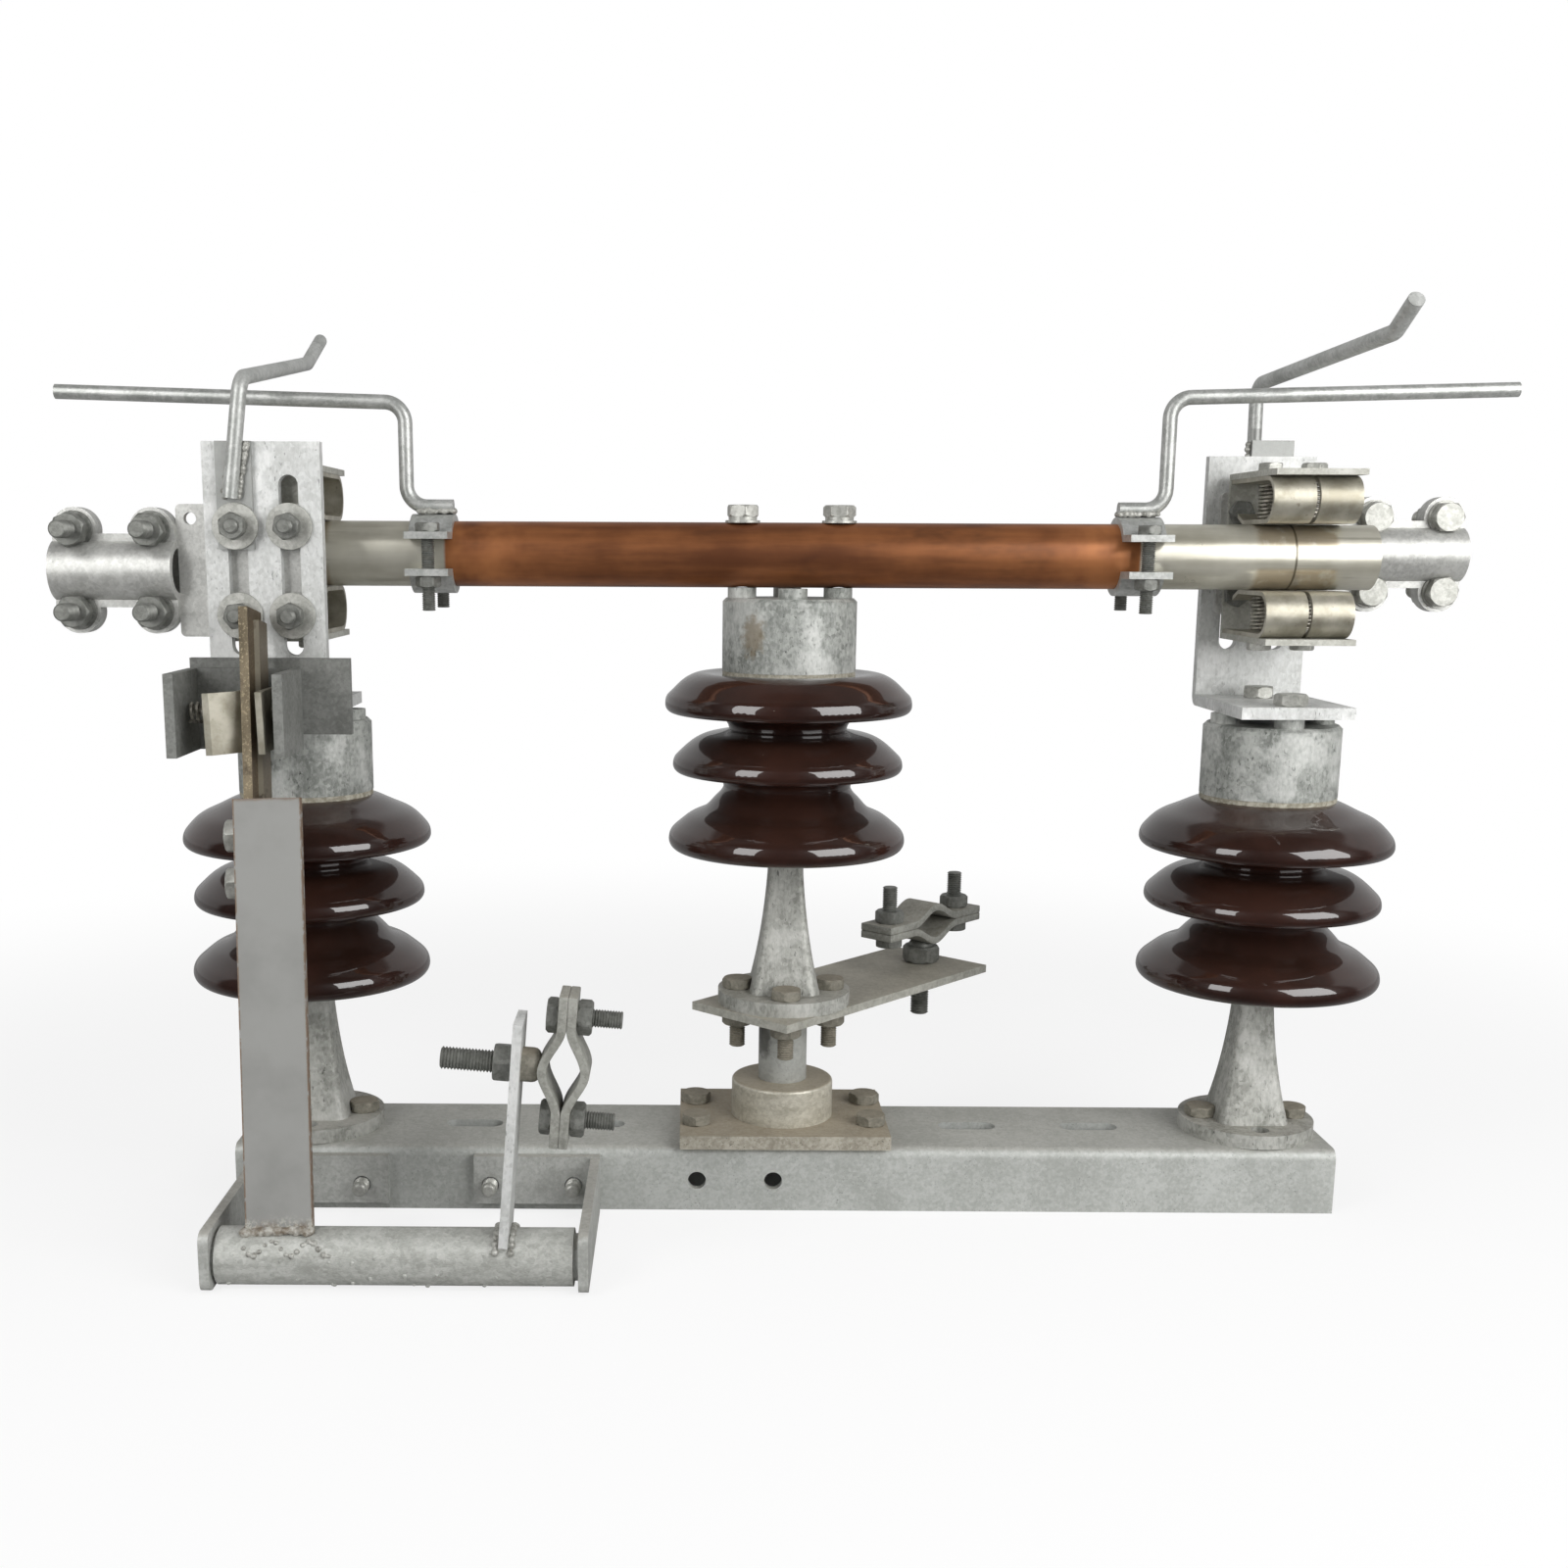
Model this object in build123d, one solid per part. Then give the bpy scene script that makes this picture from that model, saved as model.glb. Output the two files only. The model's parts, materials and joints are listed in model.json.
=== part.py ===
from build123d import *
import os
from math import cos, radians, sin, tan

# one pole of a centre rotating double break disconnector with earth switch
# x runs along the base channel, y to the rear, z up from the floor

# base channel
halfLength = 335.0
channelWidth = 85.0
channelHeight = 40.0
channelWall = 5.0
postSpacing = 292.5
webSlotNear = 117.0
webSlotFar = 194.0
webSlotLength = 36.0
webSlotWidth = 13.0
flangeHoleX = -30.25
flangeHoleSpacing = 46.5
flangeHoleZ = 19.0

# post insulator, heights of the sheds given as drops below the top of the post
postHeight = 254.0
outerCapRise = 8.0
boltCircle = 57.15
boltHole = 11.0
flangeRadius = 40.8
flangeThickness = 8.5
footWidth = 43.0
stemWidth = 20.5
stemDrop = 162.0
pinRadius = 10.0
pinDrop = 126.0
capRadius = 40.0
capHeight = 43.0
capWall = 5.0
bossRadius = 8.5
bossHeight = 6.0
topShed = 74.2
topDrop = 69.5
midShed = 69.4
midDrop = 106.0
lowShed = 71.8
lowDrop = 151.5

# bearing and rotor
bearingLength = 128.0
bearingWidth = 92.0
bearingPlateThickness = 8.5
housingRadius = 31.5
housingTop = 72.0
shaftRadius = 15.0
runningGap = 0.05
rotorLift = 81.3
leverThickness = 5.0
leverWidth = 77.0
leverBack = 42.0
leverFront = 167.0
leverAngle = 46.5

# contact tube and its horns, distances from the centre post and heights above the tube axis
tubeRadius = 19.0
tubeWall = 3.5
tubeOverhang = 45.5
leftHornClampX = 211.0
rightHornClampX = 204.5
hornClampWidth = 25.0
hornEarReach = 37.0
hornEarBolt = 29.0
hornFootBack = 11.5
hornFootFront = 16.0
hornEarGap = 17.0
strapThickness = 4.0
hornRodRadius = 4.25
leftHornReach = 133.5
rightHornReach = 124.5
leftHornRise = 86.7
rightHornRise = 91.2
hornClimb = 5.5

# contact brackets and jaws
contactX = 297.5
leftBracketShift = 1.0
rightBracketShift = -4.5
bracketWidth = 66.0
bracketPlate = 7.0
bracketInner = 50.0
bracketRise = 61.0
footFront = 42.0
slotSpacing = 29.5
slotWidth = 11.0
slotUp = 43.0
slotDown = 57.0
jawWidth = 52.0
jawPlate = 3.5
jawFront = 40.0
jawBoltSpacing = 49.5
fingerWidth = 24.3
fingerStrip = 2.5
fingerHeight = 27.0
contactGap = 0.3
springRadius = 6.0
springY = 10.0

# terminal pads and conductor clamps
terminalPlate = 5.0
terminalHeight = 74.0
leftTerminalLift = -10.0
rightTerminalLift = 2.0
terminalReach = 51.5
terminalClampLength = 69.0
conductorRadius = 12.5
shellWall = 4.5
clampBoltInset = 12.75
clampBoltHalf = 22.6
lobeRadius = 12.5

# earth switch
pipeY = -150.0
pipeZ = 16.2
pipeRadius = 15.8
pipeBore = 12.8
webThickness = 5.5
webHeight = 34.0
leftWebInset = 18.0
pipeSpan = 199.0
leftFootLength = 76.0
rightFootLength = 71.0
footLow = 5.5
footHeight = 30.0
footBoltZ = 17.5
leftFootBoltInset = 60.0
rightFootBoltInset = 61.0
rightFootBoltSpacing = 50.5
armWidth = 36.6
armWall = 5.0
armDepth = 24.0
armLength = 250.0
armLean = 9.0
armTilt = 1.6
bladeX = -291.5
bladeThickness = 5.0
bladeDepth = 29.5
bladeTop = 354.0
stripThickness = 3.0
stripSetback = 12.0
stripDepth = 18.0
jawHeight = 45.5
earthJawZ = 307.8
jawWall = 5.5
jawLegDepth = 51.0
jawLegLeft = 42.4
jawLegRight = 21.6
jawTab = 48.0
backPlate = 5.0
earthGap = 0.5
earthStrip = 3.5
earthStripHeight = 33.5
earthStripDrop = 3.8
leftFlare = 15.0
rightFlare = 1.0
earthLeverX = -159.5
earthLeverTop = 136.0
earthLeverWidth = 30.0
earthStudHeight = 110.5
earthStudLength = 42.0
earthTilt = 4.5

# pipe clamps
mainClampLength = 103.0
mainClampBolt = 37.0
earthClampLength = 84.0
earthClampBolt = 28.5
clampBarWidth = 25.0
clampBar = 5.0
clampPipeRadius = 25.6
clampSag = 9.0
mainStudReach = 145.0
mainStudRadius = 6.0
mainStudDrop = 32.0
mainStandoff = 14.0
earthStandoff = 9.0

rotorBase = channelHeight + rotorLift
axisZ = rotorBase + postHeight + tubeRadius
footZ = channelHeight + postHeight + outerCapRise
bracketTop = axisZ + bracketRise
frontY = -channelWidth / 2
leftBracketX = contactX + leftBracketShift
rightBracketX = contactX + rightBracketShift
leftWebX = leftWebInset - halfLength
rightWebX = leftWebX + pipeSpan

os.makedirs("parts", exist_ok=True)


def block(x0, x1, y0, y1, z0, z1):
    return Pos((x0 + x1) / 2, (y0 + y1) / 2, (z0 + z1) / 2) * Box(abs(x1 - x0), abs(y1 - y0), abs(z1 - z0))


def post(x, y, z0, z1, r):
    return Pos(x, y, (z0 + z1) / 2) * Cylinder(r, z1 - z0)


def rodX(x0, x1, y, z, r):
    return Pos((x0 + x1) / 2, y, z) * Rot(0, 90, 0) * Cylinder(r, abs(x1 - x0))


def rodY(x, y0, y1, z, r):
    return Pos(x, (y0 + y1) / 2, z) * Rot(90, 0, 0) * Cylinder(r, abs(y1 - y0))


def slotZ(x, y, length, width, z0, z1):
    return extrude(Pos(x, y, z0) * SlotOverall(length, width), amount=z1 - z0)


def slotY(x, z0, z1, width, y0, y1):
    slot = Pos(x, y1, (z0 + z1) / 2) * Rot(90, 0, 0) * SlotOverall(z1 - z0, width, rotation=90)
    return extrude(slot, amount=y1 - y0)


def bentRod(points, radius, bend):
    corners = [Vector(*p) for p in points]
    lines, start = [], corners[0]
    for a, b, c in zip(corners, corners[1:], corners[2:]):
        u, v = (a - b).normalized(), (c - b).normalized()
        half = radians(u.get_angle(v)) / 2
        near, far = b + u * (bend / tan(half)), b + v * (bend / tan(half))
        middle = b + (u + v).normalized() * (bend / sin(half) - bend)
        lines += [Line(start, near), ThreePointArc(near, middle, far)]
        start = far
    lines.append(Line(start, corners[-1]))
    return sweep(Plane(origin=corners[0], z_dir=corners[1] - corners[0]) * Circle(radius), Wire(lines))


def aboutCentre(shape):
    return Rot(0, 0, 180) * shape


def aboutAxis(shape):
    return mirror(shape, Plane(origin=(0, 0, axisZ), z_dir=(0, 0, 1)))


def boltPattern():
    return [(boltCircle / 2 * cos(radians(90 * i)), boltCircle / 2 * sin(radians(90 * i))) for i in range(4)]


def save(shape, name):
    export_step(shape, "parts/" + name + ".step")


# base channel, bent from plate, web uppermost
outer = block(-halfLength, halfLength, -channelWidth / 2, channelWidth / 2, 0, channelHeight)
outer = fillet(outer.edges().filter_by(Axis.X).group_by(Axis.Z)[-1], channelWall + 1)
inner = block(-halfLength, halfLength, -channelWidth / 2 + channelWall, channelWidth / 2 - channelWall,
              0, channelHeight - channelWall)
channel = outer - inner
webLow, webHigh = channelHeight - channelWall - 1, channelHeight + 1
for x in (-webSlotFar, -webSlotNear, webSlotNear, webSlotFar):
    channel -= slotZ(x, 0, webSlotLength, webSlotWidth, webLow, webHigh)
for x in (-postSpacing, postSpacing):
    for dx, dy in boltPattern():
        channel -= post(x + dx, dy, webLow, webHigh, boltHole / 2)
bearingBolts = [(sx * 54.0, sy * 21.0) for sx in (-1, 1) for sy in (-1, 1)]
for x, y in bearingBolts:
    channel -= post(x, y, webLow, webHigh, boltHole / 2)
channel -= post(0, 0, webLow, webHigh, shaftRadius + 2)
flangeHoles = [(flangeHoleX + s * flangeHoleSpacing / 2, flangeHoleZ) for s in (-1, 1)]
leftFootBolts = [leftWebX + leftFootBoltInset]
rightFootBolts = [rightWebX - rightFootBoltInset, rightWebX - rightFootBoltInset + rightFootBoltSpacing]
footHoles = [(x, footBoltZ) for x in leftFootBolts + rightFootBolts]
for x, z in flangeHoles + footHoles:
    channel -= rodY(x, frontY - 1, frontY + channelWall + 1, z, boltHole / 2)
save(channel, "base_channel")

# bearing of the turning post
plateTop = channelHeight + bearingPlateThickness
plate = block(-bearingLength / 2, bearingLength / 2, -bearingWidth / 2, bearingWidth / 2, channelHeight, plateTop)
for x, y in bearingBolts:
    plate -= post(x, y, channelHeight - 1, plateTop + 1, boltHole / 2)
plate -= post(0, 0, channelHeight - 1, plateTop + 1, shaftRadius + runningGap)
save(plate, "bearing_plate")

housing = post(0, 0, plateTop, housingTop, housingRadius)
housing = fillet(housing.edges().group_by(Axis.Z)[-1], 2)
housing -= post(0, 0, channelHeight, housingTop + 1, shaftRadius + runningGap)
save(housing, "bearing_housing")


# post insulators: galvanized foot with a tapered stem, three sheds, cap with four bosses
def pedestal():
    top = postHeight - stemDrop
    sections = []
    for share, width in ((0, footWidth), (0.13, footWidth - 5), (0.28, footWidth - 10),
                         (0.49, stemWidth + 7), (0.7, stemWidth + 3), (1, stemWidth)):
        h = flangeThickness + share * (top - flangeThickness)
        sections.append(Pos(0, 0, h) * RectangleRounded(width, width, width * 0.17))
    body = post(0, 0, 0, flangeThickness, flangeRadius) + loft(sections)
    body += post(0, 0, top - 2, postHeight - pinDrop, pinRadius)
    for x, y in boltPattern():
        body -= post(x, y, -1, flangeThickness + 1, boltHole / 2)
    return body


def porcelain(rise):
    capBottom = postHeight + rise - bossHeight - capHeight
    top = capBottom + capHeight - capWall
    neck = capRadius - capWall - 0.3
    upper, middle, lower = postHeight - topDrop, postHeight - midDrop, postHeight - lowDrop
    pin, pinTop = pinRadius + 0.3, postHeight - pinDrop
    line = [Polyline((0, top), (neck, top), (neck, capBottom - 2)),
            Spline((neck, capBottom - 2), (topShed - 19.5, upper + 19), (topShed - 10, upper + 14.3),
                   (topShed - 3, upper + 7.5), (topShed, upper), tangents=((1, -0.1), (0, -1))),
            ThreePointArc((topShed, upper), (topShed - 1.6, upper - 3.4), (topShed - 5.5, upper - 4.6)),
            Spline((topShed - 5.5, upper - 4.6), (46, upper - 6.5), (35.5, upper - 14.5), tangents=((-1, 0), (-0.1, -1))),
            Spline((35.5, upper - 14.5), (midShed - 19.5, middle + 18.5), (midShed - 9.5, middle + 13),
                   (midShed - 3, middle + 7), (midShed, middle), tangents=((1, -0.5), (0, -1))),
            ThreePointArc((midShed, middle), (midShed - 1.6, middle - 3.2), (midShed - 5.5, middle - 4.4)),
            Spline((midShed - 5.5, middle - 4.4), (48, middle - 6), (38.5, middle - 13),
                   tangents=((-1, 0), (-0.1, -1))),
            Spline((38.5, middle - 13), (43.5, lower + 26), (lowShed - 22, lower + 19.5), (lowShed - 13.5, lower + 15.5),
                   (lowShed - 5.5, lower + 9.5), (lowShed, lower), tangents=((0.3, -1), (0, -1))),
            ThreePointArc((lowShed, lower), (lowShed - 2, lower - 4.4), (lowShed - 7, lower - 6.2)),
            Polyline((lowShed - 7, lower - 6.2), (30, lower - 3), (pin, lower - 3), (pin, pinTop), (0, pinTop),
                     (0, top))]
    return revolve(Plane.XZ * make_face(line), Axis.Z)


def cap(rise):
    top = postHeight + rise - bossHeight
    body = post(0, 0, top - capHeight, top, capRadius)
    body = chamfer(body.edges().group_by(Axis.Z)[-1], 2)
    body -= post(0, 0, top - capHeight - 1, top - capWall, capRadius - capWall)
    for x, y in boltPattern():
        body += post(x, y, top - 1, top + bossHeight, bossRadius)
        body -= post(x, y, top - 1, top + bossHeight + 1, 4.25)
    return body


posts = {"left": (-postSpacing, channelHeight, outerCapRise), "right": (postSpacing, channelHeight, outerCapRise),
         "centre": (0, rotorBase, 0)}
for name, (x, z, rise) in posts.items():
    save(Pos(x, 0, z) * pedestal(), "pedestal_" + name)
    save(Pos(x, 0, z) * porcelain(rise), "porcelain_" + name)
    save(Pos(x, 0, z) * cap(rise), "cap_" + name)


# fixed contacts, drawn for the right post; the left set is turned half a turn about the centre
plateRear = bracketInner + bracketPlate
jawRear = bracketInner - terminalPlate
jawX0, jawX1 = contactX - jawWidth / 2, contactX + jawWidth / 2
shelfZ = axisZ + tubeRadius + contactGap + fingerHeight
shellX0 = contactX + terminalReach
shellX1 = shellX0 + terminalClampLength
shellOuter = conductorRadius + shellWall
springXs = (contactX - jawWidth / 4, contactX + jawWidth / 4)


def slotLines(bracketX):
    return bracketX - slotSpacing / 2, bracketX + slotSpacing / 2


def jawBoltPoints(bracketX, lift):
    return [(x, axisZ + lift + s * jawBoltSpacing / 2) for x in slotLines(bracketX) for s in (-1, 1)]


def bracketOf(bracketX):
    x0, x1 = bracketX - bracketWidth / 2, bracketX + bracketWidth / 2
    profile = Polyline((-footFront, footZ), (plateRear, footZ), (plateRear, bracketTop), (bracketInner, bracketTop),
                       (bracketInner, footZ + bracketPlate), (-footFront, footZ + bracketPlate), close=True)
    body = Pos(x0, 0, 0) * extrude(Plane.YZ * make_face(profile), amount=x1 - x0)
    body = fillet(body.edges().filter_by(Axis.X).sort_by_distance((bracketX, plateRear, footZ))[0], bracketPlate)
    for x in slotLines(bracketX):
        body -= slotY(x, axisZ - slotDown, axisZ + slotUp, slotWidth, bracketInner - 1, plateRear + 1)
    for y in (-boltCircle / 2, boltCircle / 2):
        body -= post(postSpacing, y, footZ - 1, footZ + bracketPlate + 1, 5.0)
    return body


def shellPoints(z):
    return [(x, z + s * clampBoltHalf) for x in (shellX0 + clampBoltInset, shellX1 - clampBoltInset) for s in (-1, 1)]


def halfShell(z, y0, y1, keep):
    flat = block(shellX0, shellX1, y0, y1, z - 20.5, z + 20.5)
    for x, boltZ in shellPoints(z):
        flat += rodY(x, y0, y1, boltZ, lobeRadius)
    body = flat + (rodX(shellX0, shellX1, bracketInner, z, shellOuter) & keep)
    body -= rodX(shellX0 - 1, shellX1 + 1, bracketInner, z, conductorRadius)
    for x, boltZ in shellPoints(z):
        body -= rodY(x, y0 - 1, y1 + 1, boltZ, 5.25)
    return body


def terminalOf(bracketX, lift):
    z = axisZ + lift
    pad = block(contactX - 30, shellX0 + 0.5, jawRear, bracketInner, z - terminalHeight / 2, z + terminalHeight / 2)
    pad = fillet(pad.edges().filter_by(Axis.Y), 3)
    pad += halfShell(z, jawRear, bracketInner, block(shellX0, shellX1, bracketInner - 40, bracketInner, z - 40, z + 40))
    pad -= rodX(shellX0, shellX0 + 1, bracketInner, z, conductorRadius)
    for x, boltZ in jawBoltPoints(bracketX, lift):
        pad -= rodY(x, jawRear - 1, bracketInner + 1, boltZ, 5.25)
    pad -= rodY(contactX + 44, jawRear - 1, bracketInner + 1, z + 29, 3.5)
    return pad


def jawAnglesOf(bracketX, lift):
    angle = block(jawX0, jawX1, -jawFront, jawRear, shelfZ, shelfZ + jawPlate)
    angle += block(jawX0, jawX1, jawRear - jawPlate, jawRear, axisZ + 3, shelfZ + jawPlate)
    for x in springXs:
        angle -= post(x, springY, shelfZ - 1, shelfZ + jawPlate + 1, 3.25)
    pair = []
    for body in (angle, aboutAxis(angle)):
        for x, z in jawBoltPoints(bracketX, lift):
            body -= rodY(x, jawRear - jawPlate - 1, jawRear + 1, z, 5.25)
        pair.append(body)
    return Compound(children=pair)


# reverse loop finger: forward under the shelf, round the front and back along the tube
def jawFinger(x):
    r = fingerHeight / 2
    front, rear = -jawFront + 3, jawRear - jawPlate
    flareStart = springY + springRadius + 0.5
    flareEnd = flareStart + 10
    low, high = shelfZ - fingerHeight, shelfZ
    lines = [Line((rear, high), (front + r, high)),
             ThreePointArc((front + r, high), (front, high - r), (front + r, low)),
             Line((front + r, low), (flareStart, low)),
             Line((flareStart, low), (flareEnd, low + 4)),
             Line((flareEnd, low + 4), (flareEnd, low + 4 + fingerStrip)),
             Line((flareEnd, low + 4 + fingerStrip), (flareStart, low + fingerStrip)),
             Line((flareStart, low + fingerStrip), (front + r, low + fingerStrip)),
             ThreePointArc((front + r, low + fingerStrip), (front + fingerStrip, high - r),
                           (front + r, high - fingerStrip)),
             Line((front + r, high - fingerStrip), (rear, high - fingerStrip)),
             Line((rear, high - fingerStrip), (rear, high))]
    return Pos(x, 0, 0) * extrude(Plane.YZ * make_face(lines), amount=fingerWidth)


# arcing horn on a clip bolted through a bracket slot, points as x from the bracket, y, height above the axis
def fixedHornOf(bracketX, clipLow, clipHigh, clipTop, points):
    clip = block(bracketX + clipLow, bracketX + clipHigh, plateRear, plateRear + 3, axisZ + 2, axisZ + clipTop)
    rod = bentRod([(bracketX + x, y, axisZ + z) for x, y, z in points], hornRodRadius, 11)
    body = clip + rod
    return body - rodY(slotLines(bracketX)[1], plateRear - 1, plateRear + 3.5, axisZ + 16, 5.25)


fingers = [jawFinger(jawX0 + 0.5), jawFinger(jawX1 - 0.5 - fingerWidth)]
springs = [post(x, springY, shelfZ - fingerHeight + fingerStrip, shelfZ - fingerStrip, springRadius) for x in springXs]
rodY0 = plateRear + 3 + hornRodRadius - 1
rightHorn = fixedHornOf(rightBracketX, -5, 21, 71, [(-1.3, rodY0, 30), (-2.5, rodY0, 104.7), (2, -131, 112.2),
                                                    (2.5, -153, 125.2)])
leftHorn = fixedHornOf(leftBracketX, 4.75, 24.75, 61, [(16.3, rodY0, 30), (7.9, rodY0, 94.2), (9.5, -113, 120.2),
                                                       (10, -158, 139.7)])
sides = {"right": (rightBracketX, rightTerminalLift, rightHorn), "left": (leftBracketX, leftTerminalLift, leftHorn)}
for name, (x, lift, horn) in sides.items():
    z = axisZ + lift
    outerKeep = block(shellX0, shellX1, bracketInner, bracketInner + 40, z - 40, z + 40)
    pieces = {"bracket": bracketOf(x), "terminal_plate": terminalOf(x, lift), "jaw_angles": jawAnglesOf(x, lift),
              "jaw_fingers": Compound(children=fingers + [aboutAxis(f) for f in fingers]),
              "jaw_springs": Compound(children=springs + [aboutAxis(s) for s in springs]),
              "terminal_clamp": halfShell(z, bracketInner, bracketInner + 5, outerKeep), "fixed_horn": horn}
    for kind, shape in pieces.items():
        save(shape if name == "right" else aboutCentre(shape), kind + "_" + name)

# rotor shaft and lever plate
shaft = post(0, 0, channelHeight - 12, rotorBase - leverThickness, shaftRadius)
save(shaft, "rotor_shaft")

lever = block(-leverBack, leverFront, -leverWidth / 2, leverWidth / 2, rotorBase - leverThickness, rotorBase)
lever = Rot(0, 0, leverAngle) * lever
for x, y in boltPattern():
    lever -= post(x, y, rotorBase - leverThickness - 1, rotorBase + 1, boltHole / 2)
studX, studY = mainStudReach * cos(radians(leverAngle)), mainStudReach * sin(radians(leverAngle))
lever -= post(studX, studY, rotorBase - leverThickness - 1, rotorBase + 1, mainStudRadius + runningGap)
save(lever, "lever_plate")

# contact tube
tubeHalf = contactX + tubeOverhang
tube = rodX(-tubeHalf, tubeHalf, 0, axisZ, tubeRadius)
tube -= rodX(-tubeHalf - 1, tubeHalf + 1, 0, axisZ, tubeRadius - tubeWall)
for x in (-boltCircle / 2, boltCircle / 2):
    tube -= post(x, 0, axisZ - 30, axisZ + 30, 4.5)
save(tube, "contact_tube")

strapIn = tubeRadius + runningGap
strapOut = strapIn + strapThickness


# saddle over the tube with two flat ears
def saddle(x):
    xa, xb = x - hornClampWidth / 2, x + hornClampWidth / 2
    low = axisZ + hornEarGap / 2
    body = rodX(xa, xb, 0, axisZ, strapOut) & block(xa, xb, -strapOut, strapOut, low, axisZ + strapOut)
    for s in (-1, 1):
        body += block(xa, xb, s * (strapIn - 1), s * hornEarReach, low, low + strapThickness)
        body -= post(x, s * hornEarBolt, axisZ, low + strapThickness + 1, 4.25)
    return body - rodX(xa - 1, xb + 1, 0, axisZ, strapIn)


saddles = [saddle(-leftHornClampX), saddle(rightHornClampX)]
save(Compound(children=saddles), "horn_clamps_upper")
save(Compound(children=[aboutAxis(s) for s in saddles]), "horn_clamps_lower")


def movingHorn(clampX, reach, rise):
    base, upright = axisZ + strapOut + hornRodRadius, clampX + hornFootFront
    return bentRod([(clampX - hornFootBack, 0, base), (upright, 0, base), (upright, 0, axisZ + rise),
                    (contactX + reach, 0, axisZ + rise + hornClimb)], hornRodRadius, 12)


save(movingHorn(rightHornClampX, rightHornReach, rightHornRise), "moving_horn_right")
save(aboutCentre(movingHorn(leftHornClampX, leftHornReach, leftHornRise)), "moving_horn_left")


# pipe clamps: two bars bent over the pipe, local z is the closing direction
def clampBarShape(length, bolt):
    arc = clampPipeRadius
    half = (arc ** 2 - (arc - clampSag) ** 2) ** 0.5
    body = block(-length / 2, length / 2, -clampBarWidth / 2, clampBarWidth / 2, 0, clampBar)
    bulge = rodY(0, -clampBarWidth / 2, clampBarWidth / 2, clampSag - arc, arc + clampBar)
    body += bulge & block(-half - 8, half + 8, -clampBarWidth / 2, clampBarWidth / 2, 0, arc)
    body -= rodY(0, -clampBarWidth, clampBarWidth, clampSag - arc, arc)
    for x in (-bolt, bolt):
        body -= post(x, 0, -1, clampBar + 1, 5.25)
    return body


bulgeDrop = clampSag + clampBar
pipeCut = rodY(0, -clampBarWidth, clampBarWidth, clampPipeRadius - clampSag, clampPipeRadius + clampBar)
mainBar = clampBarShape(mainClampLength, mainClampBolt)
mainFrame = Pos(studX, studY, rotorBase + mainStandoff + bulgeDrop) * Rot(0, 0, leverAngle)
pivot = post(0, 0, -bulgeDrop - mainStandoff, -bulgeDrop + 2, mainStudRadius + 2.5) \
    + post(0, 0, -bulgeDrop - mainStandoff - leverThickness - mainStudDrop, -bulgeDrop - mainStandoff + 1, mainStudRadius)
save(mainFrame * (Rot(180, 0, 0) * mainBar + (pivot - pipeCut)), "main_clamp_lower")
save(mainFrame * mainBar, "main_clamp_upper")


# earth switch bearings: cheek with a stub for the pipe, foot bolted to the channel
def earthBearing(x, sign, length, bolts):
    cheek = block(x - sign * webThickness, x, pipeY - 17, frontY - webThickness, 1, webHeight + 1)
    cheek = fillet(cheek.edges().filter_by(Axis.X).group_by(Axis.Y)[0], 6)
    body = cheek + block(x - sign * webThickness, x + sign * length, frontY - webThickness, frontY, footLow,
                         footLow + footHeight)
    body += rodX(x, x + sign * 16, pipeY, pipeZ, pipeBore - runningGap)
    for boltX in bolts:
        body -= rodY(boltX, frontY - webThickness - 1, frontY + 1, footBoltZ, 5.25)
    return body


save(earthBearing(leftWebX, 1, leftFootLength, leftFootBolts), "earth_bearing_left")
save(earthBearing(rightWebX, -1, rightFootLength, rightFootBolts), "earth_bearing_right")

pipe = rodX(leftWebX + 2, rightWebX - 3, pipeY, pipeZ, pipeRadius) \
    - rodX(leftWebX, rightWebX, pipeY, pipeZ, pipeBore)
save(pipe, "earth_pipe")
pipeSeat = rodX(leftWebX, rightWebX, pipeY, pipeZ, pipeRadius)

# arm and blade are drawn upright above the pipe axis, leaned to the rear and tilted to the left
armFrame = Pos(bladeX, pipeY, pipeZ) * Rot(-armLean, 0, 0) * Rot(0, -armTilt, 0)
armX0, armFront = -bladeThickness / 2 - armWall, -8.0
arm = block(armX0, armX0 + armWidth, armFront, armFront + armWall, pipeRadius - 5, armLength)
arm += block(armX0, armX0 + armWall, armFront, armFront + armDepth, pipeRadius - 5, armLength)
bladeBolts = (armLength - 20, armLength - 46)
for z in bladeBolts:
    arm -= rodX(armX0 - 1, armX0 + armWall + 1, 6, z, 5.25)
save(armFrame * arm - pipeSeat, "earth_arm")

bladeFront = armFront + armWall
blade = block(-bladeThickness / 2, bladeThickness / 2, bladeFront, bladeFront + bladeDepth, armLength - 62, bladeTop)
stripX1, stripY0 = bladeThickness / 2 + stripThickness, bladeFront + stripSetback
blade += block(bladeThickness / 2 - 0.5, stripX1, stripY0, stripY0 + stripDepth, armLength - 30, bladeTop - 6)
for z in bladeBolts:
    blade -= rodX(-10, 10, 6, z, 5.25)
save(armFrame * blade, "earth_blade")

# earth jaw: bent plate with two legs on a backing plate, on the front of the left bracket
jawFace = -plateRear
bladeAtJaw = bladeX - (earthJawZ - pipeZ) * tan(radians(armTilt))
jawLeft, jawRight = bladeAtJaw - jawLegLeft, bladeAtJaw + jawLegRight
jawLow, jawHigh = earthJawZ - jawHeight / 2, earthJawZ + jawHeight / 2
webFace = jawFace - backPlate
legFront = webFace - jawLegDepth
channelShape = block(jawLeft, jawRight, legFront, webFace, jawLow, jawHigh)
channelShape = fillet(channelShape.edges().filter_by(Axis.Z).group_by(Axis.Y)[-1], jawWall)
channelShape -= block(jawLeft + jawWall, jawRight - jawWall, legFront - 1, webFace - jawWall, jawLow - 1, jawHigh + 1)
earthJaw = channelShape + block(jawLeft, bladeAtJaw + jawTab, webFace, jawFace, jawLow + 8, jawHigh + 5.5)
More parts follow.
